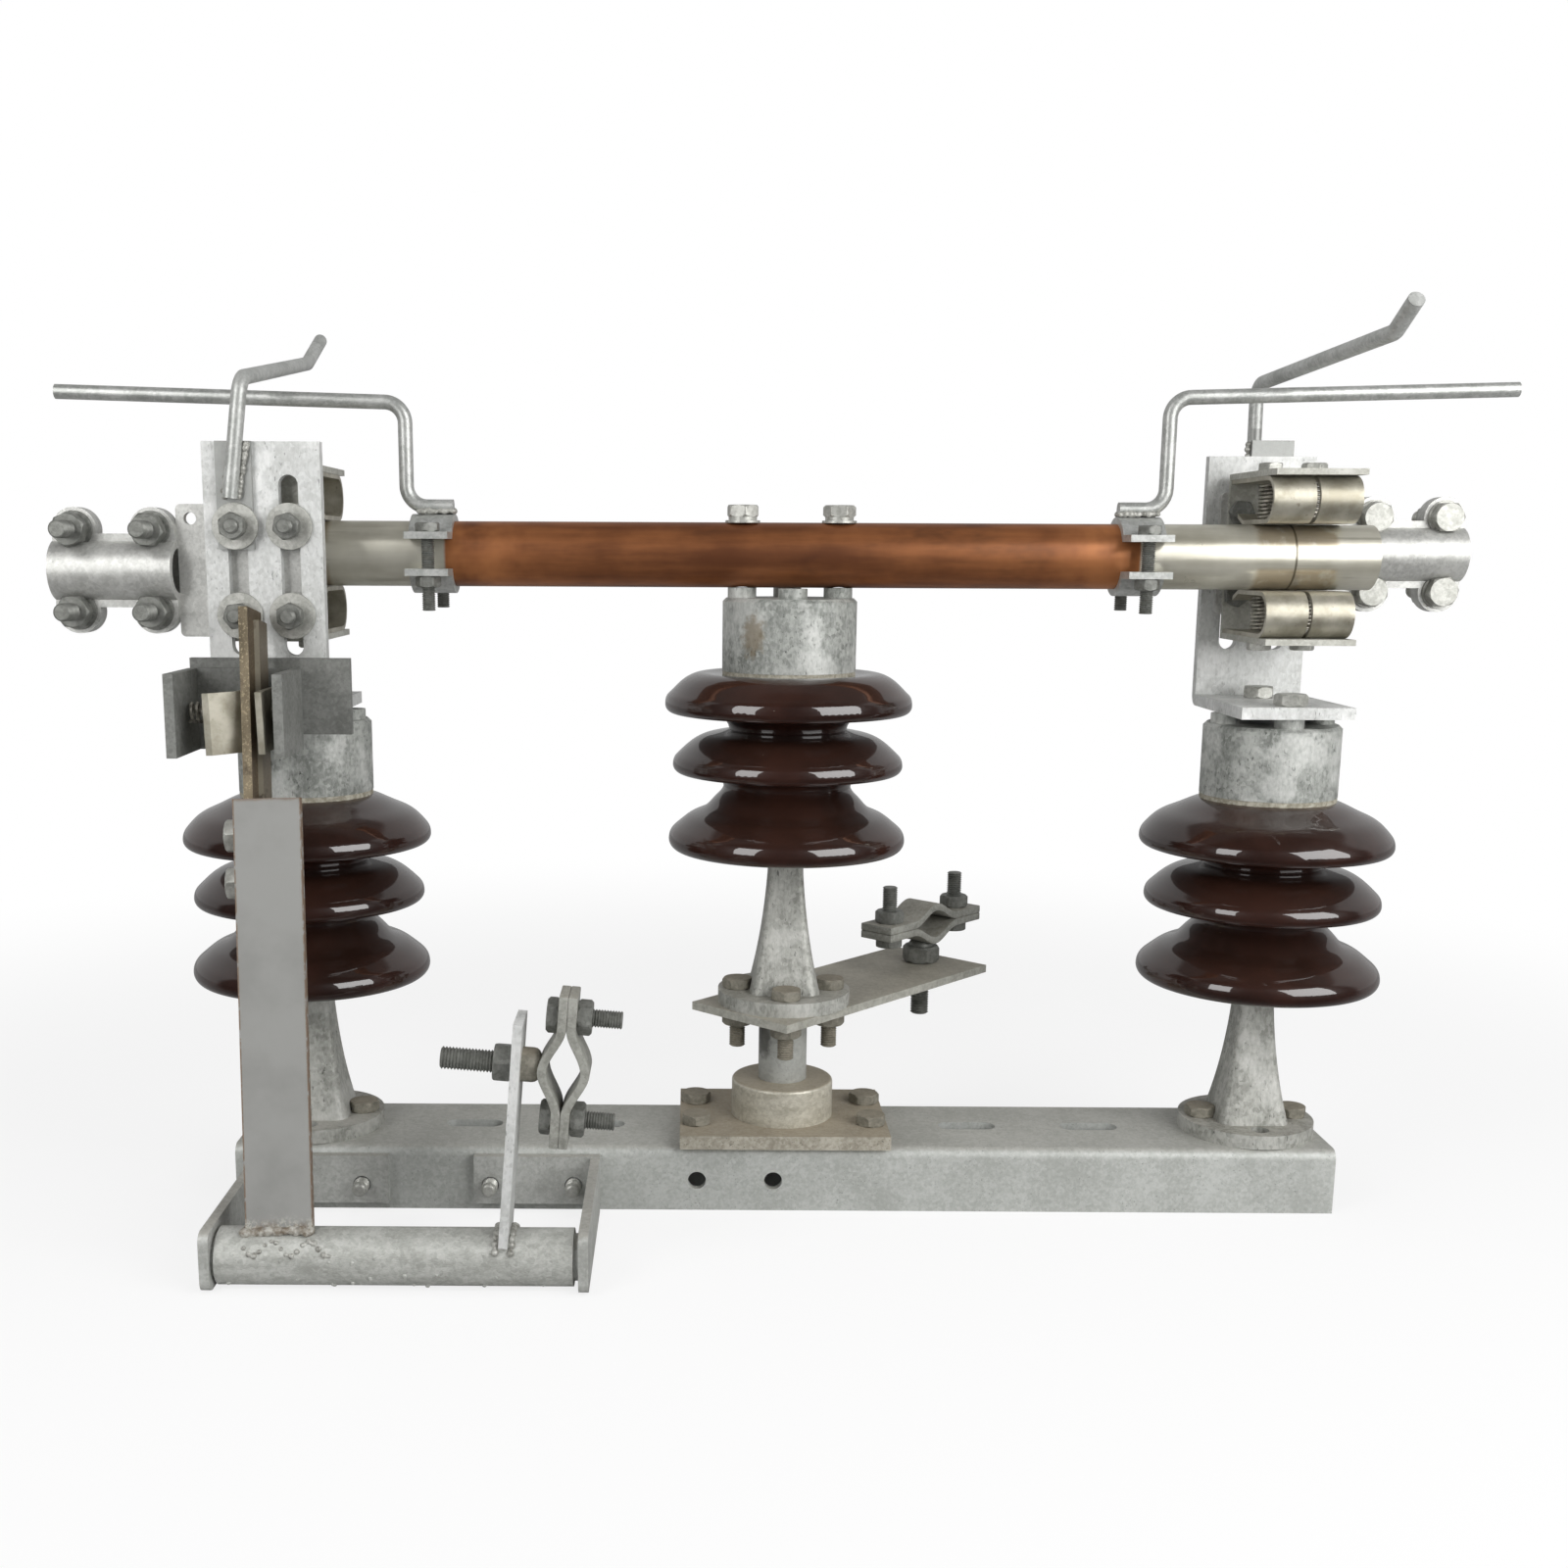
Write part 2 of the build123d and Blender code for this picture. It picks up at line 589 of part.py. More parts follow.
save(earthJaw, "earth_jaw")


# sprung strip beside the blade, x measured from the blade's middle, turned outward at the front by its flare
def earthFinger(sign, clear, flare):
    y0, y1, y2, y3 = webFace - jawWall, webFace - jawWall - 10, legFront + 14, legFront
    inner = [(clear + 4, y0), (clear, y1), (clear, y2), (clear + flare, y3)]
    outer = [(x + earthStrip, y) for x, y in inner]
    outline = Polyline(*[(sign * x, y) for x, y in inner + outer[::-1]], close=True)
    strip = extrude(make_face(outline), amount=earthStripHeight)
    low = -earthStripHeight / 2 - earthStripDrop
    return Pos(bladeAtJaw, 0, earthJawZ) * Rot(0, -armTilt, 0) * Pos(0, 0, low) * strip


leftClear, rightClear = bladeThickness / 2 + earthGap, stripX1 + earthGap
save(Compound(children=[earthFinger(-1, leftClear, leftFlare), earthFinger(1, rightClear, rightFlare)]), "earth_jaw_fingers")
springAt, springFrom = (webFace + legFront) / 2 - 1, earthStrip + contactGap
save(Compound(children=[rodX(jawLeft + jawWall, bladeAtJaw - leftClear - springFrom, springAt, earthJawZ, springRadius),
                        rodX(bladeAtJaw + rightClear + springFrom, jawRight - jawWall, springAt, earthJawZ, springRadius)]),
     "earth_jaw_springs")

# earth lever and its pipe clamp, tilted a little toward the centre
leverFrame = Pos(earthLeverX, pipeY, pipeZ) * Rot(0, earthTilt, 0)
bar = block(-2.5, 2.5, -earthLeverWidth / 2, earthLeverWidth / 2, pipeRadius - 5, earthLeverTop)
bar -= rodX(-10, 10, 0, earthStudHeight, 6 + runningGap)
save(leverFrame * bar - pipeSeat, "earth_lever")

earthFrame = leverFrame * Pos(2.5 + earthStandoff + bulgeDrop, 0, earthStudHeight) * Rot(0, 90, 0)
earthBar = clampBarShape(earthClampLength, earthClampBolt)
stud = post(0, 0, -bulgeDrop - earthStandoff, -bulgeDrop + 2, 9) \
    + post(0, 0, -bulgeDrop - earthStandoff - earthStudLength, -bulgeDrop - earthStandoff + 1, 6)
save(earthFrame * (Rot(180, 0, 0) * earthBar + (stud - pipeCut)), "earth_clamp_inner")
save(earthFrame * earthBar, "earth_clamp_outer")
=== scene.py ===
import bpy, bmesh, json, random
from math import cos, pi, radians, sin, sqrt
from mathutils import Matrix, Vector

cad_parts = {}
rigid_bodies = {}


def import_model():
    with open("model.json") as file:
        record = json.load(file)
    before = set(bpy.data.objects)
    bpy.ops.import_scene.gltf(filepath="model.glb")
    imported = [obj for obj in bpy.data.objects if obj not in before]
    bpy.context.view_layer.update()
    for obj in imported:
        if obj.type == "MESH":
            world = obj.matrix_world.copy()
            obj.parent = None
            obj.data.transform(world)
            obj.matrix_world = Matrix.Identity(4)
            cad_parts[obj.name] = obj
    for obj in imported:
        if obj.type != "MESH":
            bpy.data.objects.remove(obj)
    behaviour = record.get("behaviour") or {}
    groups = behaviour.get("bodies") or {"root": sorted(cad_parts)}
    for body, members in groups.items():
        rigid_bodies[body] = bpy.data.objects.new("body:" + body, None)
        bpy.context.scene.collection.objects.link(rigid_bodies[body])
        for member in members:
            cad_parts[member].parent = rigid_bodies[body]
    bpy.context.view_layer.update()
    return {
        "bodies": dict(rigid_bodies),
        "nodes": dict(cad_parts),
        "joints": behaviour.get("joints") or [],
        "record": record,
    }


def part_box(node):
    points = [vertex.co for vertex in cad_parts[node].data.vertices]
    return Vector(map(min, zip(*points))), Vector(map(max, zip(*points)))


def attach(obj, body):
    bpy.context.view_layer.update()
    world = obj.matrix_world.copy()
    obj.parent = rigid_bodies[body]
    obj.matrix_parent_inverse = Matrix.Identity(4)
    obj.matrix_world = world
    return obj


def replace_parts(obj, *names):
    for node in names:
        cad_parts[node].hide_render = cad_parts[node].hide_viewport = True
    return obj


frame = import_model()
nodes = frame["nodes"]
mm = 0.001
print("frame loaded:", len(nodes), "nodes")

# shared places: tube axis, posts, fixed contacts, bolt circle
contacts = {"axis": 394.3, "post": 292.5, "middle": 297.5, "plateFace": 57, "jawBack": 41.5, "shelf": 49.8,
            "seat": 309, "circle": 28.575}


def at(x, y, z):
    return Vector((x, y, z)) * mm


def inMm(values):
    return [v * mm for v in values]


# modelling helpers


def clearPick():
    if bpy.context.object and bpy.context.object.mode != "OBJECT":
        bpy.ops.object.mode_set(mode="OBJECT")
    bpy.ops.object.select_all(action="DESELECT")


def takeUp(obj):
    clearPick()
    obj.select_set(True)
    bpy.context.view_layer.objects.active = obj
    return obj


def editMode(obj, kind="FACE"):
    takeUp(obj)
    bpy.ops.object.mode_set(mode="EDIT")
    bpy.ops.mesh.select_mode(type=kind)


def pickAll():
    bpy.ops.mesh.select_all(action="SELECT")


def pick(obj, test, kind="FACE"):
    mesh = bmesh.from_edit_mesh(obj.data)
    for group in (mesh.faces, mesh.edges, mesh.verts):
        for item in group:
            item.select_set(False)
    items = {"FACE": mesh.faces, "EDGE": mesh.edges, "VERT": mesh.verts}[kind]
    for item in items:
        if test(item):
            item.select_set(True)
    mesh.select_flush_mode()
    bmesh.update_edit_mesh(obj.data)


def editDone(obj):
    bpy.ops.object.mode_set(mode="OBJECT")
    return obj


def applyAll(obj):
    takeUp(obj)
    for modifier in list(obj.modifiers):
        bpy.ops.object.modifier_apply(modifier=modifier.name)
    return obj


def outward(obj):
    editMode(obj)
    pickAll()
    bpy.ops.mesh.remove_doubles(threshold=0.00001)
    bpy.ops.mesh.normals_make_consistent(inside=False)
    return editDone(obj)


def smooth(obj, angle=35):
    takeUp(obj)
    bpy.ops.object.shade_smooth_by_angle(angle=radians(angle))
    return obj


def named(obj, name):
    obj.name = name
    obj.data.name = name
    return obj


def settle(obj):
    takeUp(obj)
    bpy.ops.object.transform_apply(location=True, rotation=True, scale=True)
    return obj


def give(obj, material):
    obj.data.materials.clear()
    obj.data.materials.append(material)
    return obj


def joined(parts):
    clearPick()
    for part in parts:
        part.select_set(True)
    bpy.context.view_layer.objects.active = parts[0]
    if len(parts) > 1:
        bpy.ops.object.join()
    return bpy.context.view_layer.objects.active


# materials: arithmetic on sockets, everything read from object coordinates


class Field:
    def __init__(self, kit, socket):
        self.kit, self.socket = kit, socket

    def join(self, operation, other, flipped=False):
        pair = (other, self) if flipped else (self, other)
        return self.kit.maths(operation, *pair)

    def __add__(self, other): return self.join("ADD", other)
    __radd__ = __add__
    def __sub__(self, other): return self.join("SUBTRACT", other)
    def __rsub__(self, other): return self.join("SUBTRACT", other, True)
    def __mul__(self, other): return self.join("MULTIPLY", other)

    def step(self, low, high, first=0.0, last=1.0):
        return self.kit.field("ShaderNodeMapRange", 0, {"interpolation_type": "SMOOTHSTEP"},
                              {"Value": self, "From Min": low, "From Max": high, "To Min": first, "To Max": last})

    def size(self): return self.kit.maths("ABSOLUTE", self)
    def most(self, other): return self.join("MAXIMUM", other)


def tone(r, g, b):
    def line(v):
        v /= 255
        return v / 12.92 if v <= 0.04045 else ((v + 0.055) / 1.055) ** 2.4
    return (line(r), line(g), line(b), 1)


def grey(v):
    return (v, v, v, 1)


class Graph:
    def __init__(self, tree):
        self.tree = tree

    def node(self, kind, settings=None, values=None):
        made = self.tree.nodes.new(kind)
        for key, value in (settings or {}).items():
            setattr(made, key, value)
        for key, value in (values or {}).items():
            self.feed(made.inputs[key], value)
        return made

    def feed(self, socket, value):
        if isinstance(value, Field):
            value = value.socket
        if isinstance(value, bpy.types.NodeSocket):
            self.tree.links.new(value, socket)
        else:
            socket.default_value = value

    def field(self, kind, output, settings=None, values=None):
        return Field(self, self.node(kind, settings, values).outputs[output])

    def maths(self, operation, a, b=0.0):
        return self.field("ShaderNodeMath", 0, {"operation": operation}, {0: a, 1: b})

    def apart(self, vector):
        parts = self.node("ShaderNodeSeparateXYZ", None, {0: vector})
        return [Field(self, parts.outputs[i]) for i in range(3)]

    # an end is a socket, a linear colour with alpha, or three values from 0 to 255
    def blend(self, first, second, share):
        ends = [tone(*end) if isinstance(end, tuple) and len(end) == 3 else end for end in (first, second)]
        return self.node("ShaderNodeMix", {"data_type": "RGBA"}, {0: share, 6: ends[0], 7: ends[1]}).outputs[2]


class Finish(Graph):
    def __init__(self, name, **fixed):
        self.material = bpy.data.materials.new(name)
        self.material.use_nodes = True
        super().__init__(self.material.node_tree)
        self.shader = self.tree.nodes["Principled BSDF"]
        self.whereabouts = self.node("ShaderNodeTexCoord").outputs
        self.place = self.whereabouts["Object"]
        self.put(**fixed)

    def axes(self, origin=None, turn=None):
        if origin is None:
            return self.apart(self.place)
        local = self.node("ShaderNodeMapping", {"vector_type": "TEXTURE"},
                          {"Vector": self.place, "Location": origin, "Rotation": turn})
        return self.apart(local.outputs[0])

    def stretched(self, scale):
        return self.node("ShaderNodeMapping", {"vector_type": "POINT"},
                         {"Vector": self.place, "Scale": scale}).outputs[0]

    def noise(self, scale, detail, rough, stretch=None, shift=0.0):
        vector = self.stretched(stretch) if stretch else self.place
        return self.field("ShaderNodeTexNoise", 0, {"noise_dimensions": "4D"},
                          {"Vector": vector, "Scale": scale, "Detail": detail, "Roughness": rough, "W": shift})

    def facets(self, scale):
        made = self.node("ShaderNodeTexVoronoi", {"feature": "F1"}, {"Vector": self.place, "Scale": scale})
        return Field(self, self.node("ShaderNodeSeparateColor", None, {0: made.outputs["Color"]}).outputs[0])

    def patch(self, centre, reach, ragged):
        scale = tuple(1 / r for r in reach)
        away = self.field("ShaderNodeVectorMath", "Value", {"operation": "DISTANCE"},
                          {0: self.stretched(scale), 1: tuple(c * s for c, s in zip(centre, scale))})
        return 1 - (away + ragged * 1.4 - 0.7).step(0.5, 1.05)

    def tint(self, colour, share):
        self.base = self.blend(self.base, colour, share)

    def facing(self):
        return self.apart(self.whereabouts["Normal"])

    def put(self, **links):
        for socket, value in links.items():
            self.feed(self.shader.inputs[socket.replace("_", " ")], value)

    def bump(self, height, depth, strength=0.5):
        made = self.node("ShaderNodeBump", None, {"Height": height, "Distance": depth, "Strength": strength})
        self.feed(self.shader.inputs["Normal"], made.outputs[0])


# zinc surfaces: clouds and grain between two tones, dark pits, dust on top faces, rust in patches
zincLooks = {
    "zincSheet": {"tones": ((150, 151, 146), (176, 177, 172)), "cloud": 30, "dust": 0.2, "shift": 1},
    "shaftZinc": {"tones": ((148, 149, 144), (172, 173, 168)), "cloud": 40, "gloss": 0.36, "shift": 2,
        "stain": ((-13, -9, 100), (7, 9, 16), (52, 50, 46))},
    "channelZinc": {"tones": ((162, 164, 159), (188, 190, 186)), "cloud": 26, "dust": 0.25, "shift": 3,
        "pits": 0.5},
    "footZinc": {"tones": ((156, 157, 152), (186, 187, 183)), "cloud": 50, "dust": 0.3, "shift": 4},
    "bracketZinc": {"tones": ((182, 183, 180), (214, 215, 213)), "cloud": 34, "gloss": 0.42, "metal": 0.3,
        "pits": 0.6, "streak": 0.4, "shift": 5, "depth": 0.0005, "patches": (232, 232, 230)},
    "angleZinc": {"tones": ((150, 149, 140), (186, 186, 178)), "cloud": 50, "shift": 6},
    "castZinc": {"tones": ((132, 133, 126), (184, 184, 178)), "cloud": 46, "pits": 0.8, "rust": 0.2,
        "dust": 0.25, "gloss": 0.46, "metal": 0.3, "shift": 9, "depth": 0.0006, "streak": 0.35,
        "patches": (202, 202, 197)},
    "capZinc": {"tones": ((114, 117, 112), (174, 176, 171)), "cloud": 42, "pits": 0.9, "gloss": 0.42,
        "metal": 0.25, "shift": 12, "depth": 0.0006, "streak": 0.45, "patches": (206, 207, 203),
        "stain": ((-22, -30, 348), (8, 14, 15), (118, 104, 80))},
    "dustyZinc": {"tones": ((140, 134, 120), (182, 177, 164)), "cloud": 60, "pits": 0.8, "dust": 0.85,
        "shift": 15},
    "housingZinc": {"tones": ((170, 165, 150), (208, 204, 190)), "cloud": 40, "pits": 0.5, "dust": 0.9,
        "gloss": 0.32, "metal": 0.3, "shift": 16, "streak": 4.0},
    "jawZinc": {"tones": ((104, 105, 101), (132, 133, 129)), "cloud": 50, "gloss": 0.5, "shift": 18},
    "leverZinc": {"tones": ((146, 145, 136), (180, 179, 170)), "cloud": 42, "dust": 0.45, "rust": 0.1,
        "shift": 21},
    "clampZinc": {"tones": ((126, 126, 119), (160, 160, 153)), "cloud": 70, "dust": 0.25, "shift": 22},
    "terminalAlloy": {"tones": ((174, 174, 170), (206, 206, 202)), "cloud": 60, "gloss": 0.34, "metal": 0.5,
        "shift": 24, "depth": 0.0003},
    "pipeZinc": {"tones": ((152, 153, 147), (190, 191, 186)), "cloud": 44, "rust": 0.15, "gloss": 0.4,
        "shift": 27, "depth": 0.0005, "streak": 3.0},
    "boltZinc": {"tones": ((106, 107, 102), (138, 139, 134)), "cloud": 120, "gloss": 0.42, "metal": 0.5,
        "shift": 30, "depth": 0.0001},
    "brightBolt": {"tones": ((156, 156, 149), (196, 196, 190)), "cloud": 110, "gloss": 0.36, "metal": 0.5,
        "shift": 31, "depth": 0.0001},
    "dullBolt": {"tones": ((112, 109, 98), (146, 142, 130)), "cloud": 110, "dust": 0.5, "gloss": 0.5,
        "shift": 33, "depth": 0.0001},
    "hornZinc": {"tones": ((164, 166, 162), (200, 201, 198)), "cloud": 60, "gloss": 0.34, "metal": 0.6,
        "pits": 0.12, "shift": 36, "depth": 0.00025},
    "clipZinc": {"tones": ((164, 166, 162), (200, 201, 198)), "cloud": 60, "gloss": 0.36, "metal": 0.5,
        "pits": 0.2, "shift": 37, "depth": 0.0003, "flat": (473, 60.5, (150, 151, 148))},
    "weldZinc": {"tones": ((132, 131, 124), (200, 200, 194)), "cloud": 260, "gloss": 0.4, "metal": 0.4,
        "shift": 39, "depth": 0.0005},
}
grain = {"fine": 560, "facets": 420, "pits": 820, "pitted": 70, "pitShade": 0.52, "patches": 26, "rusty": 85,
         "rust": (120, 92, 62), "stained": 240, "dust": (158, 146, 126)}


def zincFinish(name, look):
    kit = Finish(name)
    shift = look["shift"]
    stretch = (1.0, 1.0, look["streak"]) if "streak" in look else None
    cloud = kit.noise(look["cloud"], 5, 0.6, stretch, shift)
    fine = kit.noise(grain["fine"], 3, 0.65, stretch, shift + 2)
    share = (cloud * 0.5 + fine * 0.38 + kit.facets(grain["facets"]) * 0.12).step(0.34, 0.66)
    kit.base = kit.blend(*look["tones"], share)
    pits = kit.noise(grain["pits"], 2, 0.5, stretch, shift + 4).step(0.6, 0.7)
    pits = pits * kit.noise(grain["pitted"], 3, 0.6, None, shift + 5).step(0.4, 0.62)
    pitting = look.get("pits", 0.25)
    kit.tint(tuple(grain["pitShade"] * v for v in look["tones"][0]), pits * pitting)
    if "patches" in look:
        bright = kit.noise(grain["patches"], 4, 0.6, None, shift + 9).step(0.5, 0.6) * (fine * 0.8 + 0.3)
        kit.tint(look["patches"], bright * 0.75)
    if "flat" in look:
        height, face, colour = look["flat"]
        y, z = kit.axes()[1:]
        below = z.step(height * mm, (height - 1) * mm)
        within = y.size().step(face * mm, (face - 0.3) * mm)
        kit.tint(colour, below * within * (1.1 - cloud * 0.5))
    if "rust" in look:
        spread = kit.noise(grain["rusty"], 4, 0.65, None, shift + 7).step(0.64, 0.78)
        kit.tint(grain["rust"], spread * (look["rust"] * 2))
    if "stain" in look:
        centre, reach, colour = look["stain"]
        mark = kit.patch(at(*centre), at(*reach), kit.noise(grain["stained"], 4, 0.6, None, shift + 8))
        kit.tint(colour, mark * 0.7)
    rough = cloud * 0.12 + pits * 0.2 + look.get("gloss", 0.44)
    if "dust" in look:
        topDustAndSheen = kit.facing()[2].step(0.55, 0.95) * (cloud * 0.6 + 0.4) * look["dust"]
        kit.tint(grain["dust"], topDustAndSheen)
        rough = rough + topDustAndSheen * 0.25
    kit.put(Base_Color=kit.base, Roughness=rough, Metallic=look.get("metal", 0.22))
    kit.bump(fine * 0.5 - pits * pitting + cloud * 0.6, look.get("depth", 0.00022))
    return kit.material


finishes = {name: zincFinish(name, look) for name, look in zincLooks.items()}
glaze = {"deep": (34, 17, 12), "light": (48, 25, 18), "topDustAndSheen": (88, 76, 66), "speck": (170, 160, 148)}
copperTube = {"copperEnd": 203, "warm": (130, 190), "contact": (269.5, 320), "fade": 4, "flank": (5, 8),
              "groove": 293.5, "grooveWidth": (0.9, 0.4), "dark": (104, 62, 38), "light": (160, 102, 62),
              "orange": (184, 120, 74), "tarnish": (70, 45, 32), "plate": (214, 211, 198),
              "plateDark": (172, 168, 152), "spots": (88, 82, 62), "fingerReflectionTone": (150, 130, 98), "line": (82, 74, 58)}
fingerLook = {"dark": (152, 147, 131), "light": (190, 186, 172), "speck": (96, 84, 62)}
bladeLook = {"dark": (84, 74, 56), "light": (132, 120, 98), "grain": (186, 172, 142), "tarnish": (54, 42, 32),
             "rightSideShade": (74, 58, 42), "strip": (172, 166, 150), "gap": 2.5}
paintLook = {"paint": (137, 137, 134), "scuff": (127, 127, 124), "rust": (104, 78, 52), "flake": (176, 174, 164),
             "spots": (118, 110, 98), "outline": (10.8, 18.3, 7.4, 8, 250)}


def glazeFinish(look):
    kit = Finish("brownGlaze", Coat_Weight=1.0, Coat_Roughness=0.02, Coat_IOR=1.7, Specular_IOR_Level=0.2)
    cloud = kit.noise(22, 4, 0.6)
    speck = kit.noise(420, 2, 0.5).step(0.77, 0.8)
    # painted sheen: faces turned upward are lifted toward a grey tone; the smears are random
    topDustAndSheen = kit.facing()[2].step(0.3, 0.95) * (cloud * 0.6 + 0.4)
    smear = kit.noise(60, 5, 0.7, None, 3.0).step(0.6, 0.78)
    kit.base = kit.blend(look["deep"], look["light"], cloud.step(0.35, 0.7))
    kit.tint(look["topDustAndSheen"], topDustAndSheen * 0.1 + smear * 0.07)
    kit.tint(look["speck"], speck * 0.5)
    kit.put(Base_Color=kit.base, Roughness=cloud * 0.1 + 0.3)
    kit.bump(kit.noise(30, 2, 0.5), 0.0005, 0.25)
    return kit.material


def tubeFinish(look):
    kit = Finish("wornTube")
    x, _, z = kit.axes()
    reach = x.size()
    streak = kit.noise(60, 5, 0.6, (0.1, 1.0, 1.0))
    fine = kit.noise(300, 4, 0.6, (0.04, 1.0, 1.0), 3.0)
    cloud = kit.noise(18, 4, 0.6, None, 5.0)
    copper = kit.blend(look["dark"], look["light"], (streak * 0.6 + cloud * 0.4).step(0.36, 0.66))
    copper = kit.blend(copper, look["orange"], reach.step(*inMm(look["warm"])) * cloud.step(0.4, 0.6) * 0.7)
    stains = kit.noise(26, 4, 0.65, (0.5, 1.0, 1.0), 8.0).step(0.55, 0.72)
    copper = kit.blend(copper, look["tarnish"], stains * 0.5)
    plate = kit.blend(look["plateDark"], look["plate"], (streak * 0.5 + cloud * 0.5).step(0.34, 0.62))
    plate = kit.blend(plate, look["spots"], fine.step(0.6, 0.7) * 0.35)
    # painted reflection of the contact fingers: a brassy tone on the top and bottom flanks of the plated tube
    # beside the jaws
    near, far = inMm(look["contact"])
    fade = look["fade"] * mm
    fingerReflection = reach.step(near, near + fade) * (1 - reach.step(far - fade, far))
    fingerReflection = fingerReflection * (z - contacts["axis"] * mm).size().step(*inMm(look["flank"]))
    fingerReflection = fingerReflection * kit.noise(90, 4, 0.6, None, 9.0).step(0.3, 0.5)
    plate = kit.blend(plate, look["fingerReflectionTone"], fingerReflection * 0.6)
    groove = (reach - look["groove"] * mm).size().step(*inMm(look["grooveWidth"]))
    plate = kit.blend(plate, look["line"], groove * 0.8)
    ends = (reach + streak * 0.002).step(look["copperEnd"] * mm, (look["copperEnd"] + 2) * mm)
    kit.put(Base_Color=kit.blend(copper, plate, ends), Metallic=0.5 + ends * 0.08,
            Roughness=0.3 + cloud * 0.1 - ends * 0.06)
    kit.bump(fine + streak * 0.6, 0.0001, 0.4)
    return kit.material


def fingerFinish(look):
    kit = Finish("platedFinger")
    cloud = kit.noise(60, 4, 0.6)
    kit.base = kit.blend(look["dark"], look["light"], cloud.step(0.35, 0.65))
    kit.tint(look["speck"], kit.noise(230, 4, 0.7, None, 4.0).step(0.6, 0.72) * 0.7)
    kit.put(Base_Color=kit.base, Metallic=0.7, Roughness=0.34 + cloud * 0.16)
    kit.bump(cloud, 0.0003, 0.4)
    return kit.material


# the arm and its blade lean to the rear and sway to the left
pipeAxis = (-150, 16.2)
armPose = {"foot": (-291.5, *pipeAxis), "lean": 9, "sway": 1.6}
armTurn = Matrix.Rotation(-radians(armPose["lean"]), 4, "X") @ Matrix.Rotation(-radians(armPose["sway"]), 4, "Y")


def bladeFinish(look):
    kit = Finish("agedBlade")
    cloud = kit.noise(50, 5, 0.6, (1.0, 1.0, 0.35))
    fine = kit.noise(700, 3, 0.6)
    kit.base = kit.blend(look["dark"], look["light"], cloud.step(0.35, 0.68))
    kit.tint(look["grain"], fine.step(0.52, 0.64) * 0.45)
    x = kit.axes(at(*armPose["foot"]), armTurn.to_euler())[0]
    kit.tint(look["strip"], x.step(look["gap"] * mm, (look["gap"] + 0.2) * mm) * (1 - cloud * 0.3))
    kit.tint(look["tarnish"], kit.noise(120, 3, 0.6, None, 4.0).step(0.58, 0.7) * 0.6)
    # painted shade: faces turned to the right are darkened toward a dark brown
    right = kit.facing()[0].step(0.4, 0.8)
    kit.tint(look["rightSideShade"], right * (0.85 - fine * 0.4))
    kit.put(Base_Color=kit.base, Metallic=0.45, Roughness=0.4 + cloud * 0.2)
    kit.bump(fine, 0.00015, 0.5)
    return kit.material


# the paint of the arm is worn along the edges and at the foot
def paintFinish(look):
    kit = Finish("greyPaint")
    x, y, z = kit.axes(at(*armPose["foot"]), armTurn.to_euler())
    cloud = kit.noise(20, 4, 0.6)
    fine = kit.noise(500, 3, 0.6)
    ragged = kit.noise(170, 4, 0.65, None, 3.0)
    kit.base = kit.blend(look["scuff"], look["paint"], cloud.step(0.3, 0.6))
    middle, half, corner, face, top = inMm(look["outline"])
    edge = (((x - middle).size() - half).size() + ragged * 0.0016).step(0.0018, 0.0009)
    front = ((y + face).size() + ragged * 0.0012).step(0.0011, 0.0006)
    edge = edge.most(front * (x + corner).size().step(0.001, 0.0004))
    kit.tint(look["rust"], edge * ragged.step(0.36, 0.5) * 0.8)
    kit.tint(look["rust"], (top - z + ragged * 0.003).step(0.0034, 0.0016) * 0.6)
    foot = (z + ragged * 0.012).step(0.03, 0.02)
    kit.tint(look["flake"], foot * fine.step(0.44, 0.54))
    kit.tint(look["rust"], foot * ragged.step(0.5, 0.6) * 0.8)
    kit.tint(look["spots"], kit.noise(240, 3, 0.6, None, 6.0).step(0.73, 0.77) * 0.5)
    kit.put(Base_Color=kit.base, Roughness=0.6 + cloud * 0.12, Metallic=0.0)
    kit.bump(fine * 0.5 + cloud, 0.00018, 0.4)
    return kit.material


def mottled(name, low, high, scale, metal, rough, depth):
    kit = Finish(name)
    cloud = kit.noise(scale, 5, 0.65)
    kit.put(Base_Color=kit.blend(low, high, cloud.step(0.36, 0.66)), Metallic=metal,
            Roughness=rough + cloud * 0.2)
    kit.bump(cloud, depth, 0.6)
    return kit.material


finishes.update({
    "glaze": glazeFinish(glaze), "tube": tubeFinish(copperTube), "finger": fingerFinish(fingerLook),
    "blade": bladeFinish(bladeLook), "paint": paintFinish(paintLook),
    "spring": mottled("springWire", (104, 101, 92), (196, 192, 180), 260, 0.5, 0.3, 0.0001),
    "cement": mottled("paleCement", (134, 129, 114), (176, 172, 158), 300, 0.0, 0.75, 0.0006),
    "weldScale": mottled("weldScale", (108, 96, 80), (182, 181, 174), 190, 0.2, 0.5, 0.0004),
})

